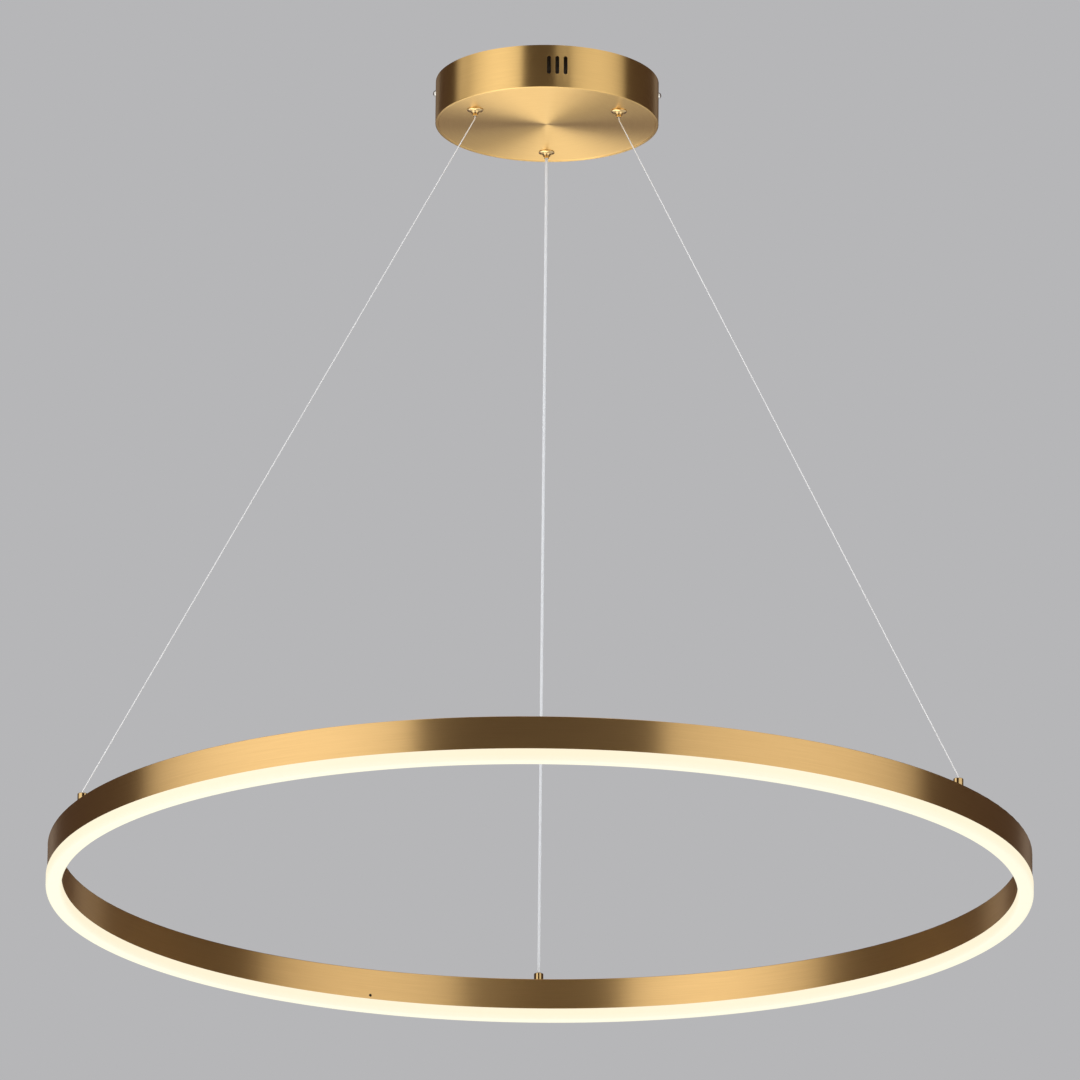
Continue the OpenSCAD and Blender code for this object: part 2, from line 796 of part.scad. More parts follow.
module gripper_cap(i) {
    color(brass)
        translate(gripper_point(i, plug_low_z))
            difference() {
                union() {
                    cylinder(r = cavity_r - clear_thread, h = plug_t);
                    translate([0, 0, plug_t])
                        cylinder(d = thread_d, h = plug_head_t);
                }
                translate([0, 0, -cut])
                    cylinder(r = end_cable_d[i] / 2 + clear_wire, h = plug_t + plug_head_t + 2 * cut);
            }
}

module gripper_washers() {
    color(zinc)
        at_grippers()
            translate([0, 0, canopy_wall])
                difference() {
                    cylinder(r = washer_r, h = washer_t);
                    translate([0, 0, -cut])
                        cylinder(d = thread_d + 0.4, h = washer_t + 2 * cut);
                }
}

module gripper_nuts() {
    color(zinc)
        at_grippers()
            translate([0, 0, canopy_wall + washer_t])
                difference() {
                    cylinder(r = gripper_nut_r, h = gripper_nut_h, $fn = 6);
                    translate([0, 0, -cut])
                        cylinder(d = thread_d + 2 * clear_thread, h = gripper_nut_h + 2 * cut);
                }
}

module gripper_spring(i) {
    inner_r = end_cable_d[i] / 2 + clear_wire;
    coil_r = (inner_r + cavity_r) / 2;
    low = collar_top_z + spring_wire_d / 2;
    high = plug_low_z - spring_wire_d / 2;
    pitch = (high - low) / spring_turns;
    steps = spring_turns * 8;
    echo("gap between the curls of a return spring", pitch - spring_wire_d);
    color(steel)
        translate(gripper_point(i, 0))
            tube([for (k = [0 : steps])
                let (turn = 360 * k / 8)
                [coil_r * cos(turn), coil_r * sin(turn), low + pitch * k / 8]], spring_wire_d, 6);
}

// Ball diameter that fills the gap between the cable and the clamping cone
function ball_d(i) = grip_r - end_cable_d[i] / 2 - clear_ball - clear_thread;
function ball_orbit(i) = end_cable_d[i] / 2 + clear_thread + ball_d(i) / 2;

module release_tip(i) {
    bore_r = end_cable_d[i] / 2 + clear_wire;
    edge = 0.4;
    color(polished_brass)
        translate(gripper_point(i, 0))
            difference() {
                rotate_extrude()
                    polygon([
                        [bore_r, collar_top_z],
                        [collar_r, collar_top_z],
                        [collar_r, clamp_top_z],
                        [tip_d / 2, clamp_top_z],
                        [tip_d / 2, tip_low_z + edge],
                        [tip_d / 2 - edge, tip_low_z],
                        [bore_r, tip_low_z]
                    ]);
                for (turn = [0, 120, 240])
                    rotate([0, 0, turn])
                        translate([0, 0, ball_z])
                            rotate([0, 90, 0])
                                cylinder(r = ball_d(i) / 2 + clear_ball, h = grip_r + cut);
            }
}

module clamp_balls(i) {
    color(steel)
        translate(gripper_point(i, ball_z))
            for (turn = [0, 120, 240])
                rotate([0, 0, turn])
                    translate([ball_orbit(i), 0, 0])
                        sphere(d = ball_d(i), $fn = 32);
}

module cable_tail(i) {
    color(steel)
        translate(gripper_point(i, exit_z))
            cylinder(d = cable_d, h = tail_top_z - exit_z, $fn = 24);
}

module cable_stops() {
    color(zinc)
        for (i = [0, 1])
            translate(gripper_point(i, plug_top_z + clear_wire))
                difference() {
                    cylinder(r = stop_r, h = stop_h);
                    translate([0, 0, -cut])
                        cylinder(d = cable_d, h = stop_h + 2 * cut, $fn = 24);
                }
}

module suspension_cable(i) {
    color(steel)
        cable_run(gripper_point(i, exit_z), anchor_point(i, mouth_z))
            circle(d = cable_d, $fn = 24);
}

module power_cable_jacket() {
    color([0.88, 0.90, 0.90])
        cable_run(gripper_point(2, exit_z), anchor_point(2, mouth_z))
            difference() {
                circle(d = jacket_d, $fn = 32);
                circle(d = core_bore_d, $fn = 32);
            }
}

module power_cable_core() {
    color([0.74, 0.74, 0.72])
        cable_run(gripper_point(2, exit_z), anchor_point(2, mouth_z))
            circle(d = core_d, $fn = 24);
}

module ring_channel() {
    color(brass)
        difference() {
            translate([0, 0, ring_top_z])
                rotate_extrude($fn = 360)
                    difference() {
                        mirror([0, 1])
                            low_round_square(ring_inner_r, 0, ring_r, ring_h, ring_edge_r);
                        translate([ring_inner_r + ring_wall, -ring_h - cut])
                            square([channel_in_w, ring_h - ring_wall + cut]);
                    }
            for (i = [0 : 2])
                translate(anchor_point(i, -ring_wall - cut))
                    cylinder(d = anchor_thread_d + 0.2, h = ring_wall + 2 * cut);
            at_diffuser_screws()
                cylinder(d = diffuser_screw_d + 2 * clear_thread, h = 4 * ring_wall, center = true);
        }
}

// The screws stand on the channel's inner wall and point outwards
module at_diffuser_screws() {
    for (k = [0 : 2])
        rotate([0, 0, -diffuser_screw_turn - 120 * k])
            translate([0, ring_inner_r, ring_low_z + diffuser_screw_z])
                rotate([-90, 0, 0])
                    children();
}

module anchor_stud(i) {
    edge = 0.5;
    roof_r = end_cable_d[i] / 2 + clear_wire;
    pocket_r = ferrule_r[i] + ferrule_gap;
    color(polished_brass)
        at_anchor(i)
            rotate_extrude()
                polygon([
                    [roof_r, anchor_h],
                    [anchor_d / 2 - edge, anchor_h],
                    [anchor_d / 2, anchor_h - edge],
                    [anchor_d / 2, 0],
                    [anchor_thread_d / 2, 0],
                    [anchor_thread_d / 2, -anchor_shank_h],
                    [pocket_r, -anchor_shank_h],
                    [pocket_r, anchor_h - anchor_roof_t],
                    [roof_r, anchor_h - anchor_roof_t]
                ]);
}

module anchor_nuts() {
    color(zinc)
        for (i = [0 : 2])
            at_anchor(i)
                translate([0, 0, -ring_wall - anchor_nut_h])
                    rotate([0, 0, 30])
                        difference() {
                            cylinder(d = anchor_nut_af / cos(30), h = anchor_nut_h, $fn = 6);
                            translate([0, 0, -cut])
                                cylinder(d = anchor_thread_d + 2 * clear_thread, h = anchor_nut_h + 2 * cut);
                        }
}

module cable_end(i) {
    low = i == 2 ? core_end_z : ferrule_top_z - ferrule_h;
    color(zinc)
        translate(anchor_point(i, 0))
            union() {
                translate([0, 0, ferrule_top_z - ferrule_h])
                    cylinder(r = ferrule_r[i], h = ferrule_h);
                translate([0, 0, low])
                    cylinder(d = end_cable_d[i], h = mouth_z - low, $fn = 24);
            }
}

module led_carrier() {
    inner = ring_inner_r + ring_wall + clear_fixed;
    outer = ring_r - ring_wall - clear_fixed;
    gap_turn = 360 * carrier_gap / (2 * PI * ring_mid_r);
    starts = [anchor_turn[0], anchor_turn[2], anchor_turn[1]];
    sweeps = [-anchor_turn[0], anchor_turn[1], 360 + anchor_turn[0] - anchor_turn[1]];
    color([0.85, 0.86, 0.87])
        for (k = [0 : 2])
            translate([0, 0, ring_top_z])
                rotate([0, 0, 90 - starts[k] - sweeps[k] + gap_turn / 2])
                    rotate_extrude(angle = sweeps[k] - gap_turn, $fn = 360)
                        difference() {
                            translate([inner, carrier_low_z])
                                square([outer - inner, carrier_h]);
                            translate([inner + carrier_t, carrier_low_z + carrier_t])
                                square([outer - inner - 2 * carrier_t, carrier_h]);
                        }
}

module led_board() {
    arc = 360 / led_board_count;
    joint = 0.2;
    color([0.95, 0.95, 0.93])
        for (k = [0 : led_board_count - 1])
            translate([0, 0, ring_top_z])
                rotate([0, 0, 90 + arc * (k + 0.5) + joint / 2])
                    rotate_extrude(angle = arc - joint, $fn = 360)
                        translate([ring_mid_r - led_board_w / 2, led_board_z])
                            square([led_board_w, led_board_t]);
}

module led_chips() {
    arc = 360 / led_board_count;
    color([0.98, 0.90, 0.55])
        for (board = [0 : led_board_count - 1], k = [0 : chips_per_board - 1])
            rotate([0, 0, arc * (board + 0.5 + (k + 0.5) / chips_per_board)])
                translate([0, ring_mid_r, ring_top_z + led_board_z - chip.z / 2])
                    cube(chip, center = true);
}

module board_leads() {
    wire_d = 1;
    start = anchor_point(2, core_end_z);
    pad_z = ring_top_z + carrier_low_z + wire_d / 2;
    pad = at_turn(1, ring_mid_r, pad_z);
    colours = [[0.75, 0.12, 0.10], [0.10, 0.10, 0.11]];
    for (side = [-1, 1])
        color(colours[(side + 1) / 2])
            tube(smooth_path([
                [start.x + side * 0.6, start.y, start.z],
                [start.x + side * 0.7, start.y, start.z - 0.8],
                [start.x + side * 1.8, start.y, (start.z + pad_z) / 2],
                [start.x + side * 4, start.y, pad_z + 0.35],
                [side * pad.x, pad.y, pad_z]
            ], 4), wire_d);
}

module diffuser_profile() {
    neck_in = ring_inner_r + ring_wall + neck_gap;
    neck_out = ring_r - ring_wall - neck_gap;
    difference() {
        union() {
            low_round_square(
                ring_inner_r - lip_in,
                ring_low_z - diffuser_show,
                ring_r + lip_out,
                ring_low_z,
                diffuser_edge_r
            );
            translate([neck_in, ring_low_z - diffuser_show / 2])
                square([neck_out - neck_in, neck_h + diffuser_show / 2]);
        }
        translate([neck_in + diffuser_wall, ring_low_z - diffuser_show + diffuser_wall])
            square([neck_out - neck_in - 2 * diffuser_wall, diffuser_show + neck_h]);
    }
}

module diffuser() {
    color([1, 0.97, 0.88])
        difference() {
            rotate_extrude($fn = 360)
                diffuser_profile();
            at_diffuser_screws()
                translate([0, 0, ring_wall])
                    cylinder(d = diffuser_screw_d + 2 * clear_screw, h = neck_gap + diffuser_screw_bite + clear_screw);
        }
}

module diffuser_screws() {
    socket_af = diffuser_screw_d / 2;
    color([0.25, 0.20, 0.14])
        at_diffuser_screws()
            difference() {
                cylinder(d = diffuser_screw_d, h = ring_wall + neck_gap + diffuser_screw_bite);
                translate([0, 0, -cut])
                    cylinder(d = socket_af / cos(30), h = cut + 1.2, $fn = 6);
            }
}

canopy_shell();
mounting_bracket();
canopy_screws();
terminal_block();
terminal_screws();
terminal_fixing_screw();
earth_screw();
earth_eyelet();
earth_lead();
supply_leads();
driver_case();
driver_lid();
driver_board();
driver_transformer();
driver_capacitors();
driver_nuts();
output_leads();
output_socket();
output_plug();
power_cable_tail();
gripper_body(0);  // gripper_body_left
gripper_body(1);  // gripper_body_right
gripper_body(2);  // gripper_body_back
gripper_cap(0);  // gripper_cap_left
gripper_cap(1);  // gripper_cap_right
gripper_cap(2);  // gripper_cap_back
gripper_washers();
gripper_nuts();
gripper_spring(0);  // gripper_spring_left
gripper_spring(1);  // gripper_spring_right
gripper_spring(2);  // gripper_spring_back
release_tip(0);  // release_tip_left
release_tip(1);  // release_tip_right
release_tip(2);  // release_tip_back
clamp_balls(0);  // clamp_balls_left
clamp_balls(1);  // clamp_balls_right
clamp_balls(2);  // clamp_balls_back
cable_tail(0);  // cable_tail_left
cable_tail(1);  // cable_tail_right
cable_stops();
suspension_cable(0);  // suspension_cable_left
suspension_cable(1);  // suspension_cable_right
power_cable_jacket();
power_cable_core();
ring_channel();
anchor_stud(0);  // anchor_stud_left
anchor_stud(1);  // anchor_stud_right
anchor_stud(2);  // anchor_stud_back
anchor_nuts();
cable_end(0);  // cable_end_left
cable_end(1);  // cable_end_right
cable_end(2);  // cable_end_back
led_carrier();
led_board();
led_chips();
board_leads();
diffuser();
diffuser_screws();
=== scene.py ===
import bpy
import math
from mathutils import Matrix, Vector


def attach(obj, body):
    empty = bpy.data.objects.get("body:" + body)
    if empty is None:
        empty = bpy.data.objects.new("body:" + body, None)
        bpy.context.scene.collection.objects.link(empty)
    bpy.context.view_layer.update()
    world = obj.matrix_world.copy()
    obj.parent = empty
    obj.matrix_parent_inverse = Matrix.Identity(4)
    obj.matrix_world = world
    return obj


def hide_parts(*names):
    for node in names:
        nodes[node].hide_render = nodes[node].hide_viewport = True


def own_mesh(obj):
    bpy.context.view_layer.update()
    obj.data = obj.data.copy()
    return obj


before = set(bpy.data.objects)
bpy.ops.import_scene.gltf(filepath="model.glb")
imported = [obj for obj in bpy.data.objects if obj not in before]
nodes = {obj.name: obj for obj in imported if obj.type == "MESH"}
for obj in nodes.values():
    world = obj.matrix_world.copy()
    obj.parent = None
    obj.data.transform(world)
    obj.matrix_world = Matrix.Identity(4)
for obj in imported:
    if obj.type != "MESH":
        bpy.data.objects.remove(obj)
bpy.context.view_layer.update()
bpy.ops.object.select_all(action="DESELECT")
print("frame loaded:", len(nodes), "nodes")

# Camera at the photograph's viewing angle: in front of the light, below it, looking up
camera = {
    "place": (-0.00303, -10.0, -3.6341),
    "pitch": 17.4107,  # degrees above level
    "roll": 0.55,
    "focal": 340.36,  # millimetres, as the sensor
    "sensor": 36,
    "farthest": 200,  # metres
}
pitch = Matrix.Rotation(math.radians(90 + camera["pitch"]), 3, "X")
roll = Matrix.Rotation(math.radians(camera["roll"]), 3, "Z")
bpy.ops.object.camera_add(location=camera["place"], rotation=(pitch @ roll).to_euler())
viewer = bpy.context.object
viewer.name = "viewer"
viewer.data.lens = camera["focal"]
viewer.data.sensor_width = camera["sensor"]
viewer.data.clip_end = camera["farthest"]
bpy.context.scene.camera = viewer
print("camera placed")

# Places shared with the part's source, in metres
ring = {"middle": 0.49375, "low": -0.867, "bottom": -0.879}
gripper = {
    "circle": 0.086, "exit": -0.0531, "capTop": -0.0242,
    "springLow": -0.0352, "springHigh": -0.0279, "springSpace": 0.0038,
}
anchor = {"mouth": -0.826}
gripperTurns = {"left": -120, "right": 120, "back": 0}  # bearings from the back, in degrees
anchorTurns = {"left": -112, "right": 123, "back": 0}
millimetre = 0.001


def atTurn(turn, radius, z):
    angle = math.radians(turn)
    return Vector((radius * math.sin(angle), radius * math.cos(angle), z))


# Taut cable between a vertical start and a vertical end, as evenly spaced points, and its length
def cablePath(start, end, bend, step):
    run = Vector((end.x - start.x, end.y - start.y, 0))
    outward = run.normalized()
    up = Vector((0, 0, 1))
    across = run.length - 2 * bend
    down = start.z - end.z
    lean = math.atan2(across, down) + math.asin(2 * bend / math.hypot(down, across))
    straight = (down - 2 * bend * math.sin(lean)) / math.cos(lean)
    first = start + outward * bend * (1 - math.cos(lean)) - up * bend * math.sin(lean)
    heading = outward * math.sin(lean) - up * math.cos(lean)
    length = 2 * bend * lean + straight
    count = max(2, round(length / step))
    points = []
    for i in range(count + 1):
        s = length * i / count
        if s < bend * lean:
            a = s / bend
            points.append(start + outward * bend * (1 - math.cos(a)) - up * bend * math.sin(a))
        elif s > length - bend * lean:
            a = (length - s) / bend
            points.append(end - outward * bend * (1 - math.cos(a)) + up * bend * math.sin(a))
        else:
            points.append(first + heading * (s - bend * lean))
    return points, length


routeSteps = 12  # points on each stretch of a smooth route


# The same smooth curve through listed points as in the part's source, given in millimetres
def smoothPath(places):
    p = [Vector(q) * millimetre for q in places]
    points = []
    for i in range(len(p) - 1):
        a, b, c, d = p[max(i - 1, 0)], p[i], p[i + 1], p[min(i + 2, len(p) - 1)]
        for k in range(routeSteps):
            t = k / routeSteps
            points.append(0.5 * (
                2 * b + t * (c - a) + t * t * (2 * a - 5 * b + 4 * c - d)
                + t ** 3 * (3 * b - a - 3 * c + d)
            ))
    return points + [p[-1]]


# Length from the start of a path to each of its points
def lengthsAlong(points):
    along = [0.0]
    for a, b in zip(points, points[1:]):
        along.append(along[-1] + (b - a).length)
    return along


# The same path with evenly spaced points
def evenPath(points, step):
    along = lengthsAlong(points)
    count = max(2, round(along[-1] / step))
    even, k = [], 0
    for i in range(count + 1):
        s = along[-1] * i / count
        while k < len(points) - 2 and along[k + 1] < s:
            k += 1
        even.append(points[k].lerp(points[k + 1], (s - along[k]) / (along[k + 1] - along[k])))
    return even


# Headings and side directions along a path, without twist
def pathFrames(points):
    last = len(points) - 1
    upright = 0.8  # a path steeper than this can't start with its side upwards
    frames = []
    side = None
    for i, p in enumerate(points):
        heading = (points[min(i + 1, last)] - points[max(i - 1, 0)]).normalized()
        if side is None:
            side = Vector((1, 0, 0)) if abs(heading.z) > upright else Vector((0, 0, 1))
        side = (side - heading * side.dot(heading)).normalized()
        frames.append((p, heading, side))
    return frames


# Tube along a path. lobes and depth press the strands of a rope into it, lay is the length of
# one turn, and offset, phase and pairLay carry it round the path as one of a twisted pair
def sweepTube(
    name, points, radius, sides, lobes=0, depth=0.0, lay=1.0, offset=0.0, phase=0.0, pairLay=1.0,
):
    along = lengthsAlong(points)
    verts, faces = [], []
    for (p, heading, side), s in zip(pathFrames(points), along):
        up = heading.cross(side)
        swing = phase + 2 * math.pi * s / pairLay
        centre = p + (side * math.cos(swing) + up * math.sin(swing)) * offset
        twist = 2 * math.pi * s / lay if lobes else 0.0
        for k in range(sides):
            a = 2 * math.pi * k / sides
            r = radius * (1 - depth * (0.5 - 0.5 * math.cos(lobes * a)))
            verts.append(centre + (side * math.cos(a + twist) + up * math.sin(a + twist)) * r)
    rings = len(points)
    for i in range(rings - 1):
        for k in range(sides):
            n = (k + 1) % sides
            faces.append((i * sides + k, i * sides + n, (i + 1) * sides + n, (i + 1) * sides + k))
    faces.append(tuple(reversed(range(sides))))
    faces.append(tuple((rings - 1) * sides + k for k in range(sides)))
    mesh = bpy.data.meshes.new(name)
    mesh.from_pydata(verts, [], faces)
    uv = mesh.uv_layers.new(name="UVMap")
    loop = 0
    for f in faces[:-2]:
        i, k = divmod(f[0], sides)
        for u, v in ((k, along[i]), (k + 1, along[i]), (k + 1, along[i + 1]), (k, along[i + 1])):
            uv.data[loop].uv = (u / sides, v)
            loop += 1
    mesh.validate()
    piece = bpy.data.objects.new(name, mesh)
    bpy.context.collection.objects.link(piece)
    for f in mesh.polygons:
        f.use_smooth = len(f.vertices) == 4
    return piece


# New nodes stand in rows below the shader, in the order in which they are made
nodeGrid = {"columns": 8, "width": 220, "height": 340, "firstRow": 2}


def addNode(tree, kind, **settings):
    node = tree.nodes.new(kind)
    row, column = divmod(len(tree.nodes), nodeGrid["columns"])
    drop = (row + nodeGrid["firstRow"]) * nodeGrid["height"]
    node.location = (column * nodeGrid["width"], -drop)
    for key, value in settings.items():
        setattr(node, key, value)
    return node


# Fills a node's sockets, each with a number, a colour or the output of another node
def fill(tree, node, values):
    for key, value in values.items():
        if isinstance(value, (int, float)):
            node.inputs[key].default_value = value
        elif isinstance(value, tuple):
            node.inputs[key].default_value = (*value, 1)
        else:
            tree.links.new(value, node.inputs[key])
    return node


def newMaterial(name, values):
    material = bpy.data.materials.new(name)
    material.use_nodes = True
    tree = material.node_tree
    return tree, fill(tree, tree.nodes["Principled BSDF"], values)


def mathNode(tree, operation, *values):
    node = addNode(tree, "ShaderNodeMath", operation=operation)
    return fill(tree, node, dict(enumerate(values))).outputs[0]


def mixColour(tree, factor, a, b):
    node = addNode(tree, "ShaderNodeMix", data_type="RGBA")
    return fill(tree, node, {0: factor, 6: a, 7: b}).outputs[2]  # the colour's own sockets


def rangeNode(tree, value, start, end, **settings):
    node = addNode(tree, "ShaderNodeMapRange", **settings)
    return fill(tree, node, {"Value": value, "From Min": start, "From Max": end})


def splitVector(tree, vector):
    return fill(tree, addNode(tree, "ShaderNodeSeparateXYZ"), {0: vector}).outputs


def coordinates(tree, kind):
    return addNode(tree, "ShaderNodeTexCoord").outputs[kind]


def bumpFrom(tree, shader, height, strength, distance):
    bump = addNode(tree, "ShaderNodeBump")
    fill(tree, bump, {"Height": height, "Strength": strength, "Distance": distance})
    fill(tree, shader, {"Normal": bump.outputs["Normal"]})


# Group that takes a colour, its darker shade and a roughness with the spread round it
def newGroup(name, ownInputs):
    tree = bpy.data.node_groups.new(name, "ShaderNodeTree")
    kinds = {"Vector": "NodeSocketVector", "Color": "NodeSocketColor", "Dark": "NodeSocketColor"}
    for way, titles in (
        ("INPUT", ("Vector", "Color", "Dark", "Roughness", "Spread", *ownInputs)),
        ("OUTPUT", ("Color", "Roughness", "Height")),
    ):
        for title in titles:
            kind = kinds.get(title, "NodeSocketFloat")
            tree.interface.new_socket(title, in_out=way, socket_type=kind)
    given = addNode(tree, "NodeGroupInput").outputs
    return tree, given, addNode(tree, "NodeGroupOutput")


# Two patterns together, with more contrast, choose between the colour and its darker shade
def shadeGroup(tree, given, end, patterns, look):
    parts = [mathNode(tree, "MULTIPLY", p, share) for p, share in zip(patterns, look["shares"])]
    both = mathNode(tree, "ADD", *parts)
    clear = rangeNode(tree, both, *look["contrast"]).outputs[0]
    spread = mathNode(tree, "MULTIPLY", mathNode(tree, "SUBTRACT", 0.5, clear), given["Spread"])
    fill(tree, end, {
        "Color": mixColour(tree, clear, given["Dark"], given["Color"]),
        "Roughness": mathNode(tree, "ADD", given["Roughness"], spread),
    })
    return both, clear


def useGroup(tree, group, values):
    node = addNode(tree, "ShaderNodeGroup", node_tree=group)
    return fill(tree, node, {"Vector": coordinates(tree, "Object"), **values})


# Gives a group's roughness to the shader, with its colour or one that is mixed from it
def linkSurface(tree, shader, node, colour=None):
    if colour is None:
        colour = node.outputs["Color"]
    fill(tree, shader, {"Base Color": colour, "Roughness": node.outputs["Roughness"]})


# Brushing that runs round the light's axis: long thin streaks, and broader ones under them
brushingLook = {
    "scales": (1.0, 0.2), "details": (3, 2), "shares": (0.65, 0.35), "contrast": (0.32, 0.68),
    "axis": 0.0001,  # least radius, so that nothing is divided by zero
}


def makeBrushing():
    tree, given, end = newGroup("turnedBrushing", ("Streaks Round", "Lines"))
    x, y, z = splitVector(tree, given["Vector"])
    squares = [mathNode(tree, "MULTIPLY", v, v) for v in (x, y)]
    radius = mathNode(tree, "SQRT", mathNode(tree, "ADD", *squares))
    safe = mathNode(tree, "MAXIMUM", radius, brushingLook["axis"])
    across = mathNode(tree, "ADD", z, radius)
    turns = [
        mathNode(tree, "MULTIPLY", mathNode(tree, "DIVIDE", v, safe), given["Streaks Round"])
        for v in (x, y)
    ]
    patterns = []
    for scale, detail in zip(brushingLook["scales"], brushingLook["details"]):
        lines = mathNode(tree, "MULTIPLY", given["Lines"], scale)
        joined = addNode(tree, "ShaderNodeCombineXYZ")
        fill(tree, joined, {0: turns[0], 1: turns[1], 2: mathNode(tree, "MULTIPLY", across, lines)})
        noise = addNode(tree, "ShaderNodeTexNoise")
        fill(tree, noise, {"Vector": joined.outputs[0], "Scale": 1, "Detail": detail})
        patterns.append(noise.outputs["Fac"])
    streaks = shadeGroup(tree, given, end, patterns, brushingLook)[1]
    fill(tree, end, {"Height": streaks})
    return tree


# Fine mottling for cast, moulded and plated surfaces
mottleLook = {
    "scales": (1.0, 6.0), "details": (2, 1), "shares": (0.6, 0.4), "contrast": (0.35, 0.65),
}


def makeMottle():
    tree, given, end = newGroup("fineMottle", ("Scale",))
    patterns = []
    for scale, detail in zip(mottleLook["scales"], mottleLook["details"]):
        own = mathNode(tree, "MULTIPLY", given["Scale"], scale)
        noise = addNode(tree, "ShaderNodeTexNoise")
        fill(tree, noise, {"Vector": given["Vector"], "Scale": own, "Detail": detail})
        patterns.append(noise.outputs["Fac"])
    mottles = shadeGroup(tree, given, end, patterns, mottleLook)[0]
    fill(tree, end, {"Height": mottles})
    return tree


brushing = makeBrushing()
mottle = makeMottle()

# Brushed finishes: colour, darker shade, streaks round the axis, lines per metre across them,
# roughness, its spread, anisotropy, bump
brushedFinishes = {
    "ringBrass": (
        (0.86, 0.565, 0.235), (0.79, 0.51, 0.205), 9.0, 3200.0, 0.30, 0.05, 0.9, 0.03,
    ),
    "canopyBrass": (
        (0.86, 0.57, 0.215), (0.79, 0.515, 0.19), 3.5, 5000.0, 0.30, 0.05, 0.9, 0.03,
    ),
    "polishedBrass": (
        (0.80, 0.57, 0.27), (0.71, 0.49, 0.21), 0.3, 5000.0, 0.12, 0.06, 0.3, 0.03,
    ),
    "aluminiumProfile": (
        (0.80, 0.81, 0.82), (0.66, 0.67, 0.68), 6.0, 3000.0, 0.35, 0.1, 0.6, 0.05,
    ),
}
# Mottled finishes: colour, darker shade, scale, roughness, its spread, metallic, bump
mottledFinishes = {
    "zincPlate": ((0.74, 0.75, 0.76), (0.64, 0.65, 0.67), 420.0, 0.34, 0.12, 0.6, 0.1),
    "steelWire": ((0.93, 0.93, 0.93), (0.82, 0.82, 0.83), 900.0, 0.38, 0.10, 0.40, 0.05),
    "polishedNickel": ((0.80, 0.79, 0.75), (0.73, 0.72, 0.68), 900.0, 0.12, 0.06, 1.0, 0.02),
    "hardSteel": ((0.78, 0.79, 0.80), (0.70, 0.71, 0.72), 800.0, 0.12, 0.06, 1.0, 0.02),
    "blackenedSteel": (
        (0.055, 0.045, 0.035), (0.03, 0.026, 0.022), 900.0, 0.45, 0.2, 0.8, 0.1,
    ),
    "whiteCase": ((0.80, 0.80, 0.77), (0.74, 0.74, 0.71), 700.0, 0.48, 0.12, 0.0, 0.1),
    "creamNylon": ((0.78, 0.76, 0.68), (0.70, 0.68, 0.60), 500.0, 0.40, 0.12, 0.0, 0.1),
    "blackResin": ((0.022, 0.022, 0.024), (0.014, 0.014, 0.015), 600.0, 0.42, 0.2, 0.0, 0.1),
    "whiteMask": ((0.86, 0.86, 0.83), (0.80, 0.80, 0.77), 500.0, 0.35, 0.1, 0.0, 0.1),
    "phosphor": ((0.93, 0.72, 0.18), (0.85, 0.62, 0.12), 1500.0, 0.35, 0.1, 0.0, 0.1),
    "brownLead": ((0.17, 0.065, 0.025), (0.13, 0.05, 0.02), 600.0, 0.34, 0.1, 0.0, 0.1),
    "blueLead": ((0.03, 0.10, 0.42), (0.02, 0.075, 0.33), 600.0, 0.34, 0.1, 0.0, 0.1),
    "redLead": ((0.52, 0.02, 0.015), (0.42, 0.015, 0.01), 600.0, 0.34, 0.1, 0.0, 0.1),
    "blackLead": ((0.016, 0.016, 0.018), (0.010, 0.010, 0.011), 600.0, 0.34, 0.1, 0.0, 0.1),
    "tinnedWire": ((0.74, 0.74, 0.74), (0.58, 0.58, 0.58), 1400.0, 0.34, 0.14, 0.5, 0.1),
}
bumpDepth = {"brushed": 0.0002, "mottled": 0.0001}  # metres
acrossBrushing = 0.25  # share of a turn, so that the gloss spreads across the brushing

for name, values in brushedFinishes.items():
    colour, dark, streaksRound, lines, roughness, spread, anisotropy, bump = values
    tree, shader = newMaterial(name, {
        "Metallic": 1.0, "Anisotropic": anisotropy, "Anisotropic Rotation": acrossBrushing,
    })
    surface = useGroup(tree, brushing, {
        "Color": colour, "Dark": dark, "Roughness": roughness, "Spread": spread,
        "Streaks Round": streaksRound, "Lines": lines,
    })
    linkSurface(tree, shader, surface)
    bumpFrom(tree, shader, surface.outputs["Height"], bump, bumpDepth["brushed"])

for name, values in mottledFinishes.items():
    colour, dark, scale, roughness, spread, metallic, bump = values
    tree, shader = newMaterial(name, {"Metallic": metallic})
    surface = useGroup(tree, mottle, {
        "Color": colour, "Dark": dark, "Scale": scale, "Roughness": roughness, "Spread": spread,
    })
    linkSurface(tree, shader, surface)
    bumpFrom(tree, shader, surface.outputs["Height"], bump, bumpDepth["mottled"])

# Green insulation with a yellow stripe along the lead
earthLook = {
    "green": {
        "Color": (0.08, 0.36, 0.05), "Dark": (0.06, 0.28, 0.04), "Scale": 600.0,
        "Roughness": 0.34, "Spread": 0.1,
    },
    "yellow": (0.85, 0.72, 0.05), "stripe": 0.42,  # share of the way round
}


def makeEarthInsulation():
    tree, shader = newMaterial("earthInsulation", {})
    place = addNode(tree, "ShaderNodeUVMap", uv_map="UVMap")
    turn = splitVector(tree, place.outputs[0])[0]
    stripe = mathNode(tree, "LESS_THAN", turn, earthLook["stripe"])
    green = useGroup(tree, mottle, earthLook["green"])
    colour = mixColour(tree, stripe, green.outputs["Color"], earthLook["yellow"])
    linkSurface(tree, shader, green, colour)


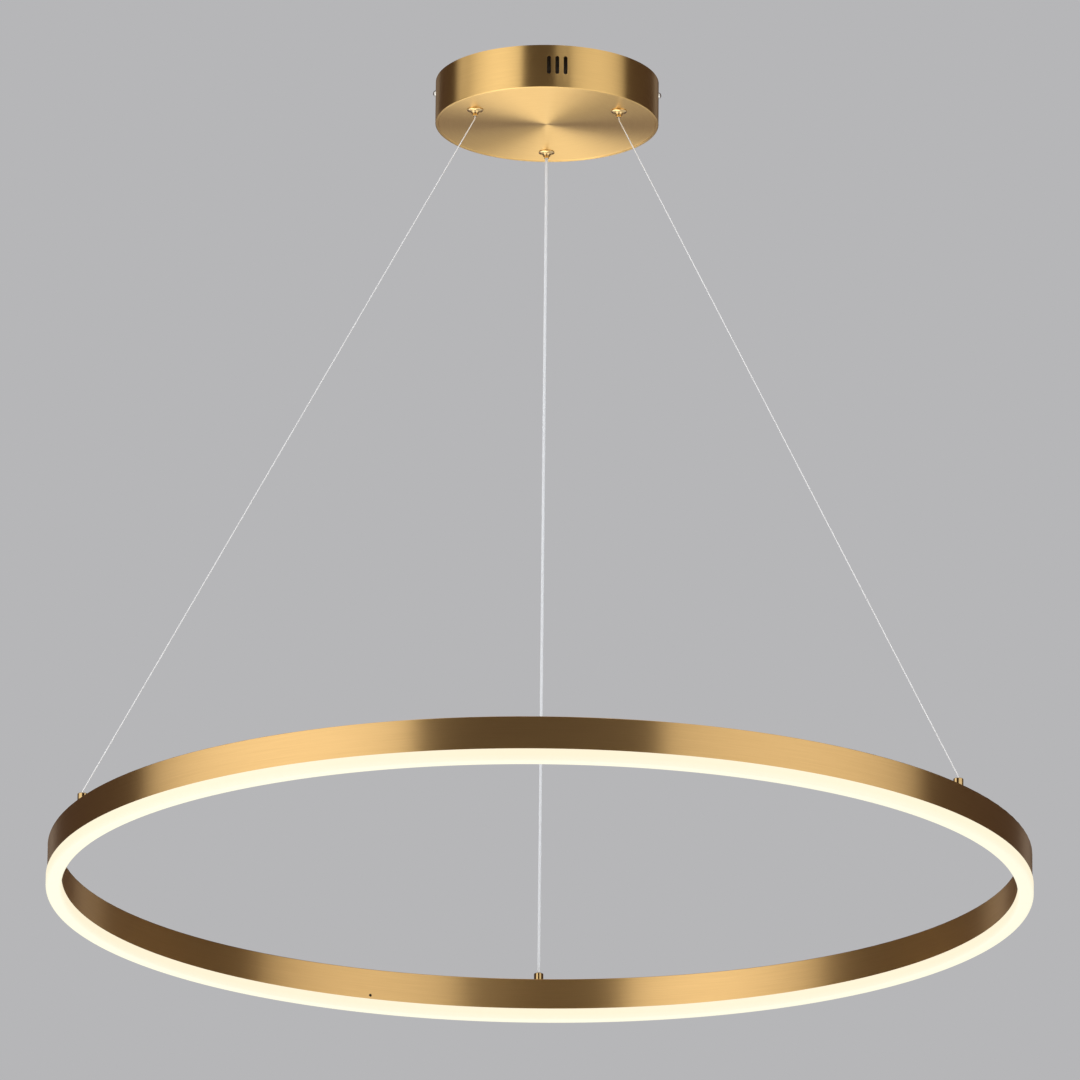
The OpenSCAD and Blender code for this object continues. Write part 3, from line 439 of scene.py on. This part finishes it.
# Solder mask with copper tracks and tinned pads
boardLook = {
    "mask": {
        "Color": (0.015, 0.16, 0.06), "Dark": (0.012, 0.12, 0.045), "Scale": 900.0,
        "Roughness": 0.28, "Spread": 0.1,
    },
    "tracks": {"Scale": 160, "Mortar Size": 0.06}, "track": (0.03, 0.27, 0.09),
    "padScale": 300, "padSize": 0.16, "pad": (0.75, 0.75, 0.72), "bump": 0.2,
}


def makeCircuitBoard():
    tree, shader = newMaterial("circuitBoard", {})
    mask = useGroup(tree, mottle, boardLook["mask"])
    place = coordinates(tree, "Object")
    bricks = addNode(tree, "ShaderNodeTexBrick")
    tracks = fill(tree, bricks, {"Vector": place, **boardLook["tracks"]}).outputs["Fac"]
    cells = addNode(tree, "ShaderNodeTexVoronoi")
    fill(tree, cells, {"Vector": place, "Scale": boardLook["padScale"]})
    pads = mathNode(tree, "LESS_THAN", cells.outputs["Distance"], boardLook["padSize"])
    colour = mixColour(tree, tracks, mask.outputs["Color"], boardLook["track"])
    linkSurface(tree, shader, mask, mixColour(tree, pads, colour, boardLook["pad"]))
    bumpFrom(tree, shader, tracks, boardLook["bump"], bumpDepth["mottled"])


# Shrink sleeve with a pale polarity stripe up one side, open over the tin of the upper end
sleeveLook = {
    "blue": {
        "Color": (0.012, 0.018, 0.075), "Dark": (0.009, 0.013, 0.055), "Scale": 500.0,
        "Roughness": 0.25, "Spread": 0.1,
    },
    "stripe": (0.55, 0.57, 0.62), "stripeFrom": 0.93, "tin": (0.62, 0.63, 0.64), "tinFrom": 0.9,
}


def makeSleeve():
    tree, shader = newMaterial("shrinkSleeve", {})
    blue = useGroup(tree, mottle, sleeveLook["blue"])
    facing = splitVector(tree, coordinates(tree, "Normal"))
    stripe = mathNode(tree, "GREATER_THAN", facing[0], sleeveLook["stripeFrom"])
    tin = mathNode(tree, "GREATER_THAN", facing[2], sleeveLook["tinFrom"])
    colour = mixColour(tree, stripe, blue.outputs["Color"], sleeveLook["stripe"])
    linkSurface(tree, shader, blue, mixColour(tree, tin, colour, sleeveLook["tin"]))
    fill(tree, shader, {"Metallic": tin})


# Opal diffuser lit from inside: its flat bottom glows whiter than its sides
glowLook = {
    "opal": {
        "Color": (0.12, 0.115, 0.10), "Dark": (0.11, 0.105, 0.09), "Scale": 120.0,
        "Roughness": 0.5, "Spread": 0.06,
    },
    "specular": 0.3, "bottom": (0.86, 0.83, 0.64), "sides": (0.90, 0.80, 0.58),
    "rise": (0.0002, 0.0060),  # heights above the bottom between which the colour changes
}


def makeGlow():
    tree, shader = newMaterial("glowingOpal", {
        "Specular IOR Level": glowLook["specular"], "Emission Strength": 1.0,
    })
    linkSurface(tree, shader, useGroup(tree, mottle, glowLook["opal"]))
    height = splitVector(tree, coordinates(tree, "Object"))[2]
    start, end = (ring["bottom"] + rise for rise in glowLook["rise"])
    ramp = addNode(tree, "ShaderNodeValToRGB")
    fill(tree, ramp, {0: rangeNode(tree, height, start, end).outputs[0]})
    for element, colour in zip(ramp.color_ramp.elements, (glowLook["bottom"], glowLook["sides"])):
        element.color = (*colour, 1)
    fill(tree, shader, {"Emission Color": ramp.outputs[0]})


# Clear cable jacket: partly see-through, milky where it is seen edge on
jacketLook = {
    "clear": {
        "Color": (0.77, 0.79, 0.82), "Dark": (0.72, 0.74, 0.77), "Scale": 500.0,
        "Roughness": 0.16, "Spread": 0.08,
    },
    "refraction": 1.5, "edge": 0.35, "cover": {"To Min": 0.80, "To Max": 1.0},
}


def makeClearJacket():
    tree, shader = newMaterial("clearJacket", {"IOR": jacketLook["refraction"]})
    linkSurface(tree, shader, useGroup(tree, mottle, jacketLook["clear"]))
    rim = fill(tree, addNode(tree, "ShaderNodeLayerWeight"), {"Blend": jacketLook["edge"]})
    cover = rangeNode(tree, rim.outputs["Facing"], 0, 1)
    fill(tree, cover, jacketLook["cover"])
    fill(tree, shader, {"Alpha": cover.outputs[0]})


makeEarthInsulation()
makeCircuitBoard()
makeSleeve()
makeGlow()
makeClearJacket()
print("finishes made")


def dress(piece, finish):
    piece.data.materials.clear()
    piece.data.materials.append(bpy.data.materials[finish])


# Finish, body and replaced node of a rigid piece
def settle(piece, finish, body, node):
    dress(piece, finish)
    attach(piece, body)
    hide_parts(node)


# Hanging cables, made first: two steel ropes and the clear power cable with its conductors
suspension = {
    "diameter": 0.0012, "bend": 0.008, "step": 0.00065, "sides": 18,
    "strands": 6, "depth": 0.2, "lay": 0.0104,
}
power = {
    "diameter": 0.0032, "step": 0.002, "sides": 24,
    "conductor": 0.00056,  # radius
    "conductorStep": 0.0008, "conductorSides": 16, "conductorGap": 1.03,
    "strands": 8, "depth": 0.2, "lay": 0.016, "pairLay": 0.075,
}


def makeRope(name, points):
    return sweepTube(
        name, points, suspension["diameter"] / 2, suspension["sides"],
        suspension["strands"], suspension["depth"], suspension["lay"],
    )


def makeConductor(name, points, phase):
    return sweepTube(
        name, points, power["conductor"], power["conductorSides"],
        power["strands"], power["depth"], power["lay"],
        power["conductor"] * power["conductorGap"], phase, power["pairLay"],
    )


# A hanging piece gets its finish, hangs from the canopy with a mesh of its own, and hides the node
# it replaces
def hang(piece, finish, node):
    dress(piece, finish)
    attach(piece, "canopy")
    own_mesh(piece)
    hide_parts(node)


def cableEnds(side):
    start = atTurn(gripperTurns[side], gripper["circle"], gripper["exit"])
    return start, atTurn(anchorTurns[side], ring["middle"], anchor["mouth"])


cordLengths = {}
for side in ("left", "right"):
    start, end = cableEnds(side)
    points, length = cablePath(start, end, suspension["bend"], suspension["step"])
    rope = makeRope("suspensionCable_" + side, points)
    hang(rope, "steelWire", "suspension_cable_" + side)
    cordLengths[side] = round(length, 4)

start, end = cableEnds("back")
points, length = cablePath(start, end, suspension["bend"], power["step"])
jacket = sweepTube("powerCableJacket", points, power["diameter"] / 2, power["sides"])
finePoints = cablePath(start, end, suspension["bend"], power["conductorStep"])[0]
for i in range(2):
    wire = makeConductor("powerConductor_" + str(i + 1), finePoints, math.pi * i)
    hang(wire, "tinnedWire", "power_cable_core")
hang(jacket, "clearJacket", "power_cable_jacket")
cordLengths["back"] = round(length, 4)
print("hanging cables made, lengths in metres:", cordLengths)

# Return springs in the grippers, with closed end curls
spring = {
    "wire": 0.0004, "turns": 6.0, "closed": 0.75, "closedPitch": 1.05,  # in wires
    "clearance": 0.00025, "stepsPerTurn": 24, "sides": 10, "travel": 0.002,
}


def springHeight(turn, low, high):
    closed, turns = spring["closed"], spring["turns"]
    rise = spring["wire"] * spring["closedPitch"] * closed
    if turn < closed:
        return low + rise * turn / closed
    if turn > turns - closed:
        return high - rise * (turns - turn) / closed
    share = (turn - closed) / (turns - 2 * closed)
    return low + rise + (high - low - 2 * rise) * share


def makeSpring(side, cable):
    centre = atTurn(gripperTurns[side], gripper["circle"], 0)
    coil = ((cable / 2 + spring["clearance"]) + gripper["springSpace"]) / 2
    low = gripper["springLow"] + spring["wire"] / 2
    high = gripper["springHigh"] - spring["wire"] / 2
    points = []
    for i in range(int(spring["turns"] * spring["stepsPerTurn"]) + 1):
        turn = i / spring["stepsPerTurn"]
        angle = 2 * math.pi * turn
        points.append(Vector((
            centre.x + coil * math.cos(angle), centre.y + coil * math.sin(angle),
            springHeight(turn, low, high),
        )))
    curl = sweepTube("returnSpring_" + side, points, spring["wire"] / 2, spring["sides"])
    dress(curl, "hardSteel")
    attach(curl, "canopy")
    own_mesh(curl)
    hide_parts("gripper_spring_" + side)


makeSpring("left", suspension["diameter"])
makeSpring("right", suspension["diameter"])
makeSpring("back", power["diameter"])
print("return springs made")

# Leads in the canopy and the ring, on the routes of the part's source, in millimetres
lead = {
    "diameter": 0.0018, "boardDiameter": 0.001, "step": 0.0008, "sides": 16,  # these in metres
    "height": -31.6, "pitch": 6, "poleStep": 9,
    "earthStart": (0.021, 0.003, -0.0086),  # metres
    "earthRoute": [
        (21, 9, -8.6), (20, 14, -8.6), (13, 22, -7.6), (0, 24, -7.6),
        (-22, 20, -4.8), (-30, 12.6, -3.8), (-30, 8.7, -3.8),
    ],
}
# The output leads leave the driver, turn round a loop and run to their socket
outputLoop = {"x": -58, "y": 23, "flatness": 0.8, "drop": 8.1, "turnStep": 30}
outputSocket = {"places": (-50, -26, -22.05), "y": 46, "height": -39.7}


def makeLead(name, points, diameter, finish, node, body="canopy"):
    tube = sweepTube(name, evenPath(points, lead["step"]), diameter / 2, lead["sides"])
    settle(tube, finish, body, node)


# End of a lead that goes into the driver at its right (1) or left (-1) end
def leadInside(side, y):
    z = lead["height"]
    return [
        (57 * side, y, z), (53 * side, y, z), (49.6 * side, y, z),
        (46 * side, y, z - 2), (44 * side, y, z - 3.55), (43.5 * side, y, z - 7.05),
    ]


def supplyPoints(i, y):
    pole = 30 + lead["poleStep"] * i
    route = [
        (pole, 9, -8.6), (pole, 15 - 2 * i, -8.6), (pole + 9 - 2 * i, 26 - 7 * i, -11.6),
        (60 - 2 * i, 28 - 7 * i, -19.6), (76 - 7 * i, 15 - 3 * i, -28.6),
        (71 - 5 * i, y + 2 - i, lead["height"]),
    ]
    return [Vector((pole, 3, -8.6)) * millimetre] + smoothPath(route + leadInside(1, y))


def outputPoints(y):
    route = list(reversed(leadInside(-1, y)))
    bow = outputLoop["y"] - y
    for turn in range(outputLoop["turnStep"], 180, outputLoop["turnStep"]):
        angle = math.radians(turn)
        route.append((
            outputLoop["x"] - outputLoop["flatness"] * bow * math.sin(angle),
            outputLoop["y"] - bow * math.cos(angle),
            lead["height"] - outputLoop["drop"] * turn / 180,
        ))
    for x in outputSocket["places"]:
        route.append((x, outputSocket["y"] - y, outputSocket["height"]))
    return smoothPath(route)


def boardPoints(side):
    return smoothPath([
        (0.6 * side, 493.75, -839.2), (0.7 * side, 493.75, -840), (1.8 * side, 493.75, -840.85),
        (4 * side, 493.75, -842.15), (8.617 * side, 493.675, -842.5),
    ])


thick, thin = lead["diameter"], lead["boardDiameter"]
points = [Vector(lead["earthStart"])] + smoothPath(lead["earthRoute"])
makeLead("earthLead", points, thick, "earthInsulation", "earth_lead")
for i, title, finish, slotName in (
    (0, "supplyLeadBrown", "brownLead", "brown_insulation"),
    (1, "supplyLeadBlue", "blueLead", "blue_sleeve"),
):
    points = supplyPoints(i, lead["pitch"] * (i - 0.5))
    makeLead(title, points, thick, finish, "supply_leads")
for i, title, finish, slotName in (
    (0, "outputLeadRed", "redLead", "red_insulation"),
    (1, "outputLeadBlack", "blackLead", "black_plastic"),
):
    points = outputPoints(lead["pitch"] * (i - 0.5))
    makeLead(title, points, thick, finish, "output_leads")
for side, title, finish, slotName in (
    (-1, "boardLeadRed", "redLead", "red_insulation"),
    (1, "boardLeadBlack", "blackLead", "black_plastic"),
):
    makeLead(title, boardPoints(side), thin, finish, "board_leads", "ring")
print("leads made")

# Power cable from its gripper to the plug, and the spare ends of the steel ropes
tail = {
    "stopTop": -0.01715,
    "route": [  # millimetres
        (0, 86, -21.2), (4, 84, -14.2), (15, 77, -12.2), (26, 63.6, -18.2),
        (30.8, 54, -32.7), (24.4, 47, -39.7), (10.05, 46, -39.7),
    ],
}
start = atTurn(0, gripper["circle"], gripper["exit"])
capTop = atTurn(0, gripper["circle"], gripper["capTop"])
points = evenPath([start, capTop] + smoothPath(tail["route"]), power["conductorStep"])
piece = sweepTube("powerTailJacket", points, power["diameter"] / 2, power["sides"])
settle(piece, "clearJacket", "canopy", "power_cable_tail")
for i in range(2):
    wire = makeConductor("powerTailConductor_" + str(i + 1), points, math.pi * i)
    settle(wire, "tinnedWire", "canopy", "power_cable_tail")
for side in ("left", "right"):
    low = atTurn(gripperTurns[side], gripper["circle"], gripper["exit"])
    high = Vector((low.x, low.y, tail["stopTop"]))
    rope = makeRope("cableTail_" + side, evenPath([low, high], suspension["step"]))
    settle(rope, "steelWire", "canopy", "cable_tail_" + side)
print("cable ends made")

closeBy = 0.00001  # points nearer than this are one


# Chooses vertices or edges in edit mode, by a test in object mode, and stays in edit mode
def choose(piece, kind, isChosen):
    bpy.ops.mesh.select_mode(type="EDGE" if kind == "edges" else "VERT")
    bpy.ops.mesh.select_all(action="DESELECT")
    bpy.ops.object.mode_set(mode="OBJECT")
    for item in getattr(piece.data, kind):
        item.select = isChosen(item)
    bpy.ops.object.mode_set(mode="EDIT")


# Piece of revolution: the corners of its cross-section are extruded in the XZ plane, those that
# isRounded picks are rounded, and the outline is spun round the light's axis
def spinProfile(name, corners, isRounded, shape):
    bpy.ops.object.select_all(action="DESELECT")
    bpy.ops.mesh.primitive_plane_add(size=0.01, location=(0, 0, 0))
    piece = bpy.context.object
    piece.name = name
    bpy.ops.object.mode_set(mode="EDIT")
    bpy.ops.mesh.merge(type="CENTER")
    bpy.ops.transform.translate(value=(corners[0][0], 0, corners[0][1]))
    for a, b in zip(corners, corners[1:]):
        move = (b[0] - a[0], 0, b[1] - a[1])
        bpy.ops.mesh.extrude_region_move(TRANSFORM_OT_translate={"value": move})
    bpy.ops.mesh.select_all(action="SELECT")
    bpy.ops.mesh.edge_face_add()
    choose(piece, "vertices", lambda v: isRounded(v.co))
    bpy.ops.mesh.bevel(
        offset=shape["edge"], offset_type="OFFSET", segments=shape["edgeSteps"],
        profile=0.5, affect="VERTICES",
    )
    bpy.ops.mesh.select_all(action="SELECT")
    bpy.ops.mesh.delete(type="ONLY_FACE")

    def isOnAxis(edge):  # such an edge would make no surface
        return max(abs(piece.data.vertices[k].co.x) for k in edge.vertices) < closeBy

    choose(piece, "edges", isOnAxis)
    bpy.ops.mesh.delete(type="EDGE")
    bpy.ops.mesh.select_mode(type="VERT")
    bpy.ops.mesh.select_all(action="SELECT")
    bpy.ops.mesh.spin(steps=shape["steps"], angle=2 * math.pi, center=(0, 0, 0), axis=(0, 0, 1))
    bpy.ops.mesh.select_all(action="SELECT")
    bpy.ops.mesh.remove_doubles(threshold=closeBy)
    bpy.ops.mesh.normals_make_consistent(inside=False)
    bpy.ops.object.mode_set(mode="OBJECT")
    return piece


# Opal diffuser: rounded low corners, and a channelled neck that stands in the ring
diffuser = {
    "inner": 0.4852, "outer": 0.50115, "edge": 0.003, "edgeSteps": 6, "steps": 720,
    "neckInner": 0.48875, "neckOuter": 0.49875, "neckTop": -0.859, "wall": 0.0018,
    "smooth": 25, "reach": 0.0001,  # how far a rounded corner may stand from its height
}


def makeDiffuser():
    low, bottom, top = ring["low"], ring["bottom"], diffuser["neckTop"]
    inner, outer, wall = diffuser["inner"], diffuser["outer"], diffuser["wall"]
    neckInner, neckOuter = diffuser["neckInner"], diffuser["neckOuter"]
    corners = [
        (inner, bottom), (outer, bottom), (outer, low), (neckOuter, low), (neckOuter, top),
        (neckOuter - wall, top), (neckOuter - wall, bottom + wall),
        (neckInner + wall, bottom + wall), (neckInner + wall, top),
        (neckInner, top), (neckInner, low), (inner, low),
    ]

    def isRounded(place):
        return place.z < bottom + diffuser["reach"]

    piece = spinProfile("opalDiffuser", corners, isRounded, diffuser)
    bpy.ops.object.shade_smooth_by_angle(angle=math.radians(diffuser["smooth"]))
    settle(piece, "glowingOpal", "ring", "diffuser")
    return piece


opal = makeDiffuser()
print("diffuser made:", len(opal.data.polygons), "faces")

# Canopy shell: a drawn cup with a rim round its recessed underside, vents, holes and studs
shell = {
    "radius": 0.116, "bottom": -0.046, "wall": 0.0012,
    "rim": 0.003, "slope": 0.0006, "under": -0.0454, "floor": -0.0442,
    "edge": 0.001, "edgeSteps": 6, "steps": 720, "smooth": 20, "reach": 0.0001,
    "vents": 3, "ventWidth": 0.0041, "ventHeight": 0.020, "ventPlace": -0.0215,
    "ventTurn": 5.0, "ventStep": 4.248, "ventDepth": 0.0072,  # turns in degrees
    "gripperHole": 0.0104, "gripperDepth": 0.004,
    "screwHole": 0.0044, "screwPlace": -0.0126, "screwDepth": 0.005,
    "stud": 0.003, "studPlace": 0.0565, "studTop": -0.0386, "rodSides": 48,
}


def addRod(width, depth, place, turn=(0, 0, 0)):
    bpy.ops.mesh.primitive_cylinder_add(
        vertices=shell["rodSides"], radius=width / 2, depth=depth, location=place, rotation=turn,
    )
    return bpy.context.object


# Upright slot through the wall: a level round rod whose two halves are drawn apart
def addVentCutter(turn):
    cutter = addRod(shell["ventWidth"], shell["ventDepth"], (0, 0, 0), (math.pi / 2, 0, 0))
    bpy.ops.object.transform_apply(location=False, rotation=True, scale=False)
    for way in (-1, 1):
        bpy.ops.object.mode_set(mode="EDIT")
        choose(cutter, "vertices", lambda v: v.co.z * way > closeBy / 10)
        move = way * (shell["ventHeight"] - shell["ventWidth"]) / 2
        bpy.ops.transform.translate(value=(0, 0, move))
        bpy.ops.object.mode_set(mode="OBJECT")
    radius = shell["radius"]
    cutter.rotation_euler = (0, 0, turn)
    cutter.location = (radius * math.sin(turn), -radius * math.cos(turn), shell["ventPlace"])
    return cutter


def useBoolean(piece, tools, operation):
    bpy.ops.object.select_all(action="DESELECT")
    for tool in tools:
        tool.select_set(True)
    bpy.context.view_layer.objects.active = tools[0]
    bpy.ops.object.join()
    joined = bpy.context.object
    bpy.ops.object.select_all(action="DESELECT")
    piece.select_set(True)
    bpy.context.view_layer.objects.active = piece
    change = piece.modifiers.new("change", "BOOLEAN")
    change.operation = operation
    change.solver = "EXACT"
    change.object = joined
    bpy.ops.object.modifier_apply(modifier=change.name)
    bpy.data.objects.remove(joined)


def makeShell():
    radius, bottom, wall = shell["radius"], shell["bottom"], shell["wall"]
    under, floor, rimInner = shell["under"], shell["floor"], radius - shell["rim"]
    corners = [
        (0, under), (rimInner - shell["slope"], under), (rimInner, bottom), (radius, bottom),
        (radius, 0), (radius - wall, 0), (radius - wall, floor), (0, floor),
    ]

    def isRounded(place):
        return place.x > radius - shell["reach"] and place.z < bottom + shell["reach"]

    piece = spinProfile("canopyShell", corners, isRounded, shell)
    low, high = floor - wall / 2, shell["studTop"]  # a stud starts inside the wall
    studs = [
        addRod(shell["stud"], high - low, (side * shell["studPlace"], 0, (low + high) / 2))
        for side in (-1, 1)
    ]
    useBoolean(piece, studs, "UNION")
    cutters = []
    for turn in gripperTurns.values():
        place = atTurn(turn, gripper["circle"], (under + floor) / 2)
        cutters.append(addRod(shell["gripperHole"], shell["gripperDepth"], place))
    for side in (-1, 1):
        place = (side * radius, 0, shell["screwPlace"])
        level = (0, math.pi / 2, 0)
        cutters.append(addRod(shell["screwHole"], shell["screwDepth"], place, level))
    for i in range(shell["vents"]):
        turn = shell["ventTurn"] + (i - (shell["vents"] - 1) / 2) * shell["ventStep"]
        cutters.append(addVentCutter(math.radians(turn)))
    useBoolean(piece, cutters, "DIFFERENCE")
    bpy.ops.object.shade_smooth_by_angle(angle=math.radians(shell["smooth"]))
    settle(piece, "canopyBrass", "canopy", "canopy_shell")
    return piece


cup = makeShell()
print("canopy shell made:", len(cup.data.polygons), "faces")

# Finishes of the pieces carried over from the part
carried = {
    "ringBrass": ["ring_channel"],
    "polishedBrass": [
        "gripper_body_left", "gripper_body_right", "gripper_body_back",
        "gripper_cap_left", "gripper_cap_right", "gripper_cap_back",
        "release_tip_left", "release_tip_right", "release_tip_back",
        "anchor_stud_left", "anchor_stud_right", "anchor_stud_back",
    ],
    "polishedNickel": ["canopy_screws"],
    "zincPlate": [
        "mounting_bracket", "terminal_screws", "terminal_fixing_screw", "earth_screw",
        "earth_eyelet", "driver_nuts", "gripper_washers", "gripper_nuts", "cable_stops",
        "anchor_nuts",
    ],
    "hardSteel": ["clamp_balls_left", "clamp_balls_right", "clamp_balls_back"],
    "steelWire": ["cable_end_left", "cable_end_right"],
    "tinnedWire": ["cable_end_back"],
    "blackenedSteel": ["diffuser_screws"],
    "whiteCase": ["driver_case", "driver_lid", "terminal_block"],
    "creamNylon": ["output_socket", "output_plug"],
    "blackResin": ["driver_transformer"],
    "shrinkSleeve": ["driver_capacitors"],
    "circuitBoard": ["driver_board"],
    "whiteMask": ["led_board"],
    "phosphor": ["led_chips"],
    "aluminiumProfile": ["led_carrier"],
}
for finish, names in carried.items():
    for name in names:
        for slot in nodes[name].material_slots:
            slot.material = bpy.data.materials[finish]
print("finishes given to", sum(len(names) for names in carried.values()), "carried pieces")

# Studio: a pale floor far below, soft boxes in front of the light with a dark gap between
# them, dim panels behind it, one box lying on the floor, and a dark room for the reflections
studio = {
    "floor": {"height": -3.95, "radius": 9.5, "sides": 160},
    "floorPaint": {
        "Color": (0.82, 0.82, 0.82), "Dark": (0.80, 0.80, 0.80), "Scale": 3.0,
        "Roughness": 0.9, "Spread": 0.05,
    },
    # near-black disc of painted shade behind the canopy, which the vents show from below
    "patch": {"height": 0.0006, "radius": 0.1145, "sides": 96},
    "paintedShadeLook": {
        "Color": (0.02, 0.017, 0.015), "Dark": (0.016, 0.013, 0.012), "Scale": 60.0,
        "Roughness": 0.9, "Spread": 0.05,
    },
    "paintRoughness": 0.9,
    # name, inner and outer edge seen from above, lowest and highest point, radiance, and the
    # share of it that is left at the outer edge
    "boxes": [
        ("leftBox", (-0.63, -1.39), (-1.31, -0.08), -1.9, 1.5, 1.09, 0.42),
        ("rightBox", (0.495, -1.19), (1.465, -0.175), -1.9, 1.5, 0.82, 0.50),
        ("leftHighBox", (-1.31, -0.08), (-1.40, 0.34), 0.05, 1.5, 0.75, 0.55),
        ("rightHighBox", (0.19, -1.25), (0.495, -1.19), 0.45, 1.5, 1.00, 0.70),
        ("leftBackPanel", (-1.6, 2.4), (-1.6, 4.6), -1.6, 2.2, 0.20, 0.50),
        ("rightBackPanel", (1.6, 2.0), (1.6, 4.0), -1.6, 2.2, 0.18, 0.50),
    ],
    "peak": 0.56,  # brightest place of a box, as a share of the way from its outer edge
    "lowBox": {"from": (-2.1, -0.6), "to": (0.5, 6.4), "height": -3.94, "radiance": 1.5},
    # colours of the room, and between which heights or depths of a direction they change
    "backdrop": (0.468, 0.468, 0.479), "ambient": (0.8, 0.8, 0.8),
    "room": (0.057, 0.035, 0.029), "frontGap": (0.034, 0.019, 0.015),
    "nearLow": (0.12, 0.08, 0.068), "farLow": (0.20, 0.17, 0.17),
    "frontEdge": (0.72, 0.92), "lowEdge": (0.06, 0.20), "farEdge": (-0.1, 0.3),
    "highEdge": (0.80, 0.97),
}


# Hides a stage surface: where the mask is 0 the material lets everything through
def showWhere(tree, shader, mask):
    through = addNode(tree, "ShaderNodeBsdfTransparent")
    mix = addNode(tree, "ShaderNodeMixShader")
    fill(tree, mix, {0: mask, 1: through.outputs[0], 2: shader.outputs[0]})
    fill(tree, tree.nodes["Material Output"], {"Surface": mix.outputs[0]})


def stagePaint(name, look):
    tree, shader = newMaterial(name, {"Roughness": studio["paintRoughness"]})
    paint = useGroup(tree, mottle, look)
    fill(tree, shader, {"Base Color": paint.outputs["Color"]})
    return tree, shader, addNode(tree, "ShaderNodeNewGeometry").outputs["Backfacing"]


def addDisc(name, size, finish):
    bpy.ops.mesh.primitive_circle_add(
        vertices=size["sides"], radius=size["radius"], fill_type="NGON",
        location=(0, 0, size["height"]),
    )
    disc = bpy.context.object
    disc.name = name
    dress(disc, finish)


# Near-black disc of painted shade behind the canopy, which only the camera sees and only from
# below, so that the vents look into painted dark from below. From above it can't be seen, and light
# passes it
def makeShadePatch():
    tree, shader, isBack = stagePaint("ceilingPaint", studio["paintedShadeLook"])
    rays = addNode(tree, "ShaderNodeLightPath")
    showWhere(tree, shader, mathNode(tree, "MULTIPLY", isBack, rays.outputs["Is Camera Ray"]))
    addDisc("paintedShadePatch", studio["patch"], "ceilingPaint")


# From below the floor can't be seen, so that it doesn't hide the light
def makeFloor():
    tree, shader, isBack = stagePaint("paleFloor", studio["floorPaint"])
    showWhere(tree, shader, mathNode(tree, "SUBTRACT", 1, isBack))
    addDisc("floor", studio["floor"], "paleFloor")


def addLamp(name, place, turn, width, height, radiance):
    bpy.ops.object.light_add(type="AREA", location=place, rotation=turn)
    lamp = bpy.context.object
    lamp.name = name
    lamp.data.shape = "RECTANGLE"
    lamp.data.size = width
    lamp.data.size_y = height
    lamp.data.energy = radiance * math.pi * width * height
    lamp.visible_camera = False
    return lamp


# Upright soft box that faces the light's axis and gets darker towards its edges
def makeBox(name, inner, outer, low, high, radiance, edge):
    across = Vector((inner[0] - outer[0], inner[1] - outer[1], 0))
    place = Vector(((inner[0] + outer[0]) / 2, (inner[1] + outer[1]) / 2, (low + high) / 2))
    up = Vector((0, 0, 1))
    side = across.normalized()
    back = side.cross(up)
    isFlipped = back.dot(place) < 0
    if isFlipped:
        back, side = -back, -side
    turn = Matrix((side, up, back)).transposed().to_euler()
    lamp = addLamp(name, place, turn, across.length, high - low, radiance)
    lamp.data.use_nodes = True
    tree = lamp.data.node_tree
    spot = addNode(tree, "ShaderNodeNewGeometry")
    along = splitVector(tree, spot.outputs["Parametric"])[0]
    peak = 1 - studio["peak"] if isFlipped else studio["peak"]
    away = mathNode(tree, "DIVIDE", mathNode(tree, "SUBTRACT", along, peak), studio["peak"])
    fall = mathNode(tree, "MULTIPLY", mathNode(tree, "MULTIPLY", away, away), 1 - edge)
    fill(tree, tree.nodes["Emission"], {"Strength": mathNode(tree, "SUBTRACT", 1, fall)})


# Soft box lying on the floor behind the light, which the underside of the canopy shows
def makeLowBox(box):
    (x0, y0), (x1, y1) = box["from"], box["to"]
    place = ((x0 + x1) / 2, (y0 + y1) / 2, box["height"])
    addLamp("lowBox", place, (math.pi, 0, 0), x1 - x0, y1 - y0, box["radiance"])


# What the camera sees is the plain backdrop, metal shows the room, and all else is lit evenly
def makeSurround():
    world = bpy.data.worlds.new("surround")
    bpy.context.scene.world = world
    world.use_nodes = True
    tree = world.node_tree
    rays = addNode(tree, "ShaderNodeLightPath")
    direction = splitVector(tree, coordinates(tree, "Generated"))
    forward = mathNode(tree, "MULTIPLY", direction[1], -1)
    downward = mathNode(tree, "MULTIPLY", direction[2], -1)

    def share(value, edge):
        node = rangeNode(tree, value, *studio[edge], interpolation_type="SMOOTHSTEP")
        return node.outputs[0]

    far = share(direction[1], "farEdge")
    nearOrFar = mixColour(tree, far, studio["nearLow"], studio["farLow"])
    room = mixColour(tree, share(forward, "frontEdge"), studio["room"], studio["frontGap"])
    room = mixColour(tree, share(downward, "lowEdge"), room, nearOrFar)
    room = mixColour(tree, share(direction[2], "highEdge"), room, studio["backdrop"])
    unseen = mixColour(tree, rays.outputs["Is Glossy Ray"], studio["ambient"], room)
    seen = mathNode(
        tree, "MAXIMUM", rays.outputs["Is Camera Ray"], rays.outputs["Is Transmission Ray"],
    )
    colour = mixColour(tree, seen, unseen, studio["backdrop"])
    fill(tree, tree.nodes["Background"], {"Color": colour, "Strength": 1})


makeShadePatch()
makeFloor()
for box in studio["boxes"]:
    makeBox(*box)
makeLowBox(studio["lowBox"])
makeSurround()
bpy.context.scene.view_settings.view_transform = "Standard"
print("studio made")
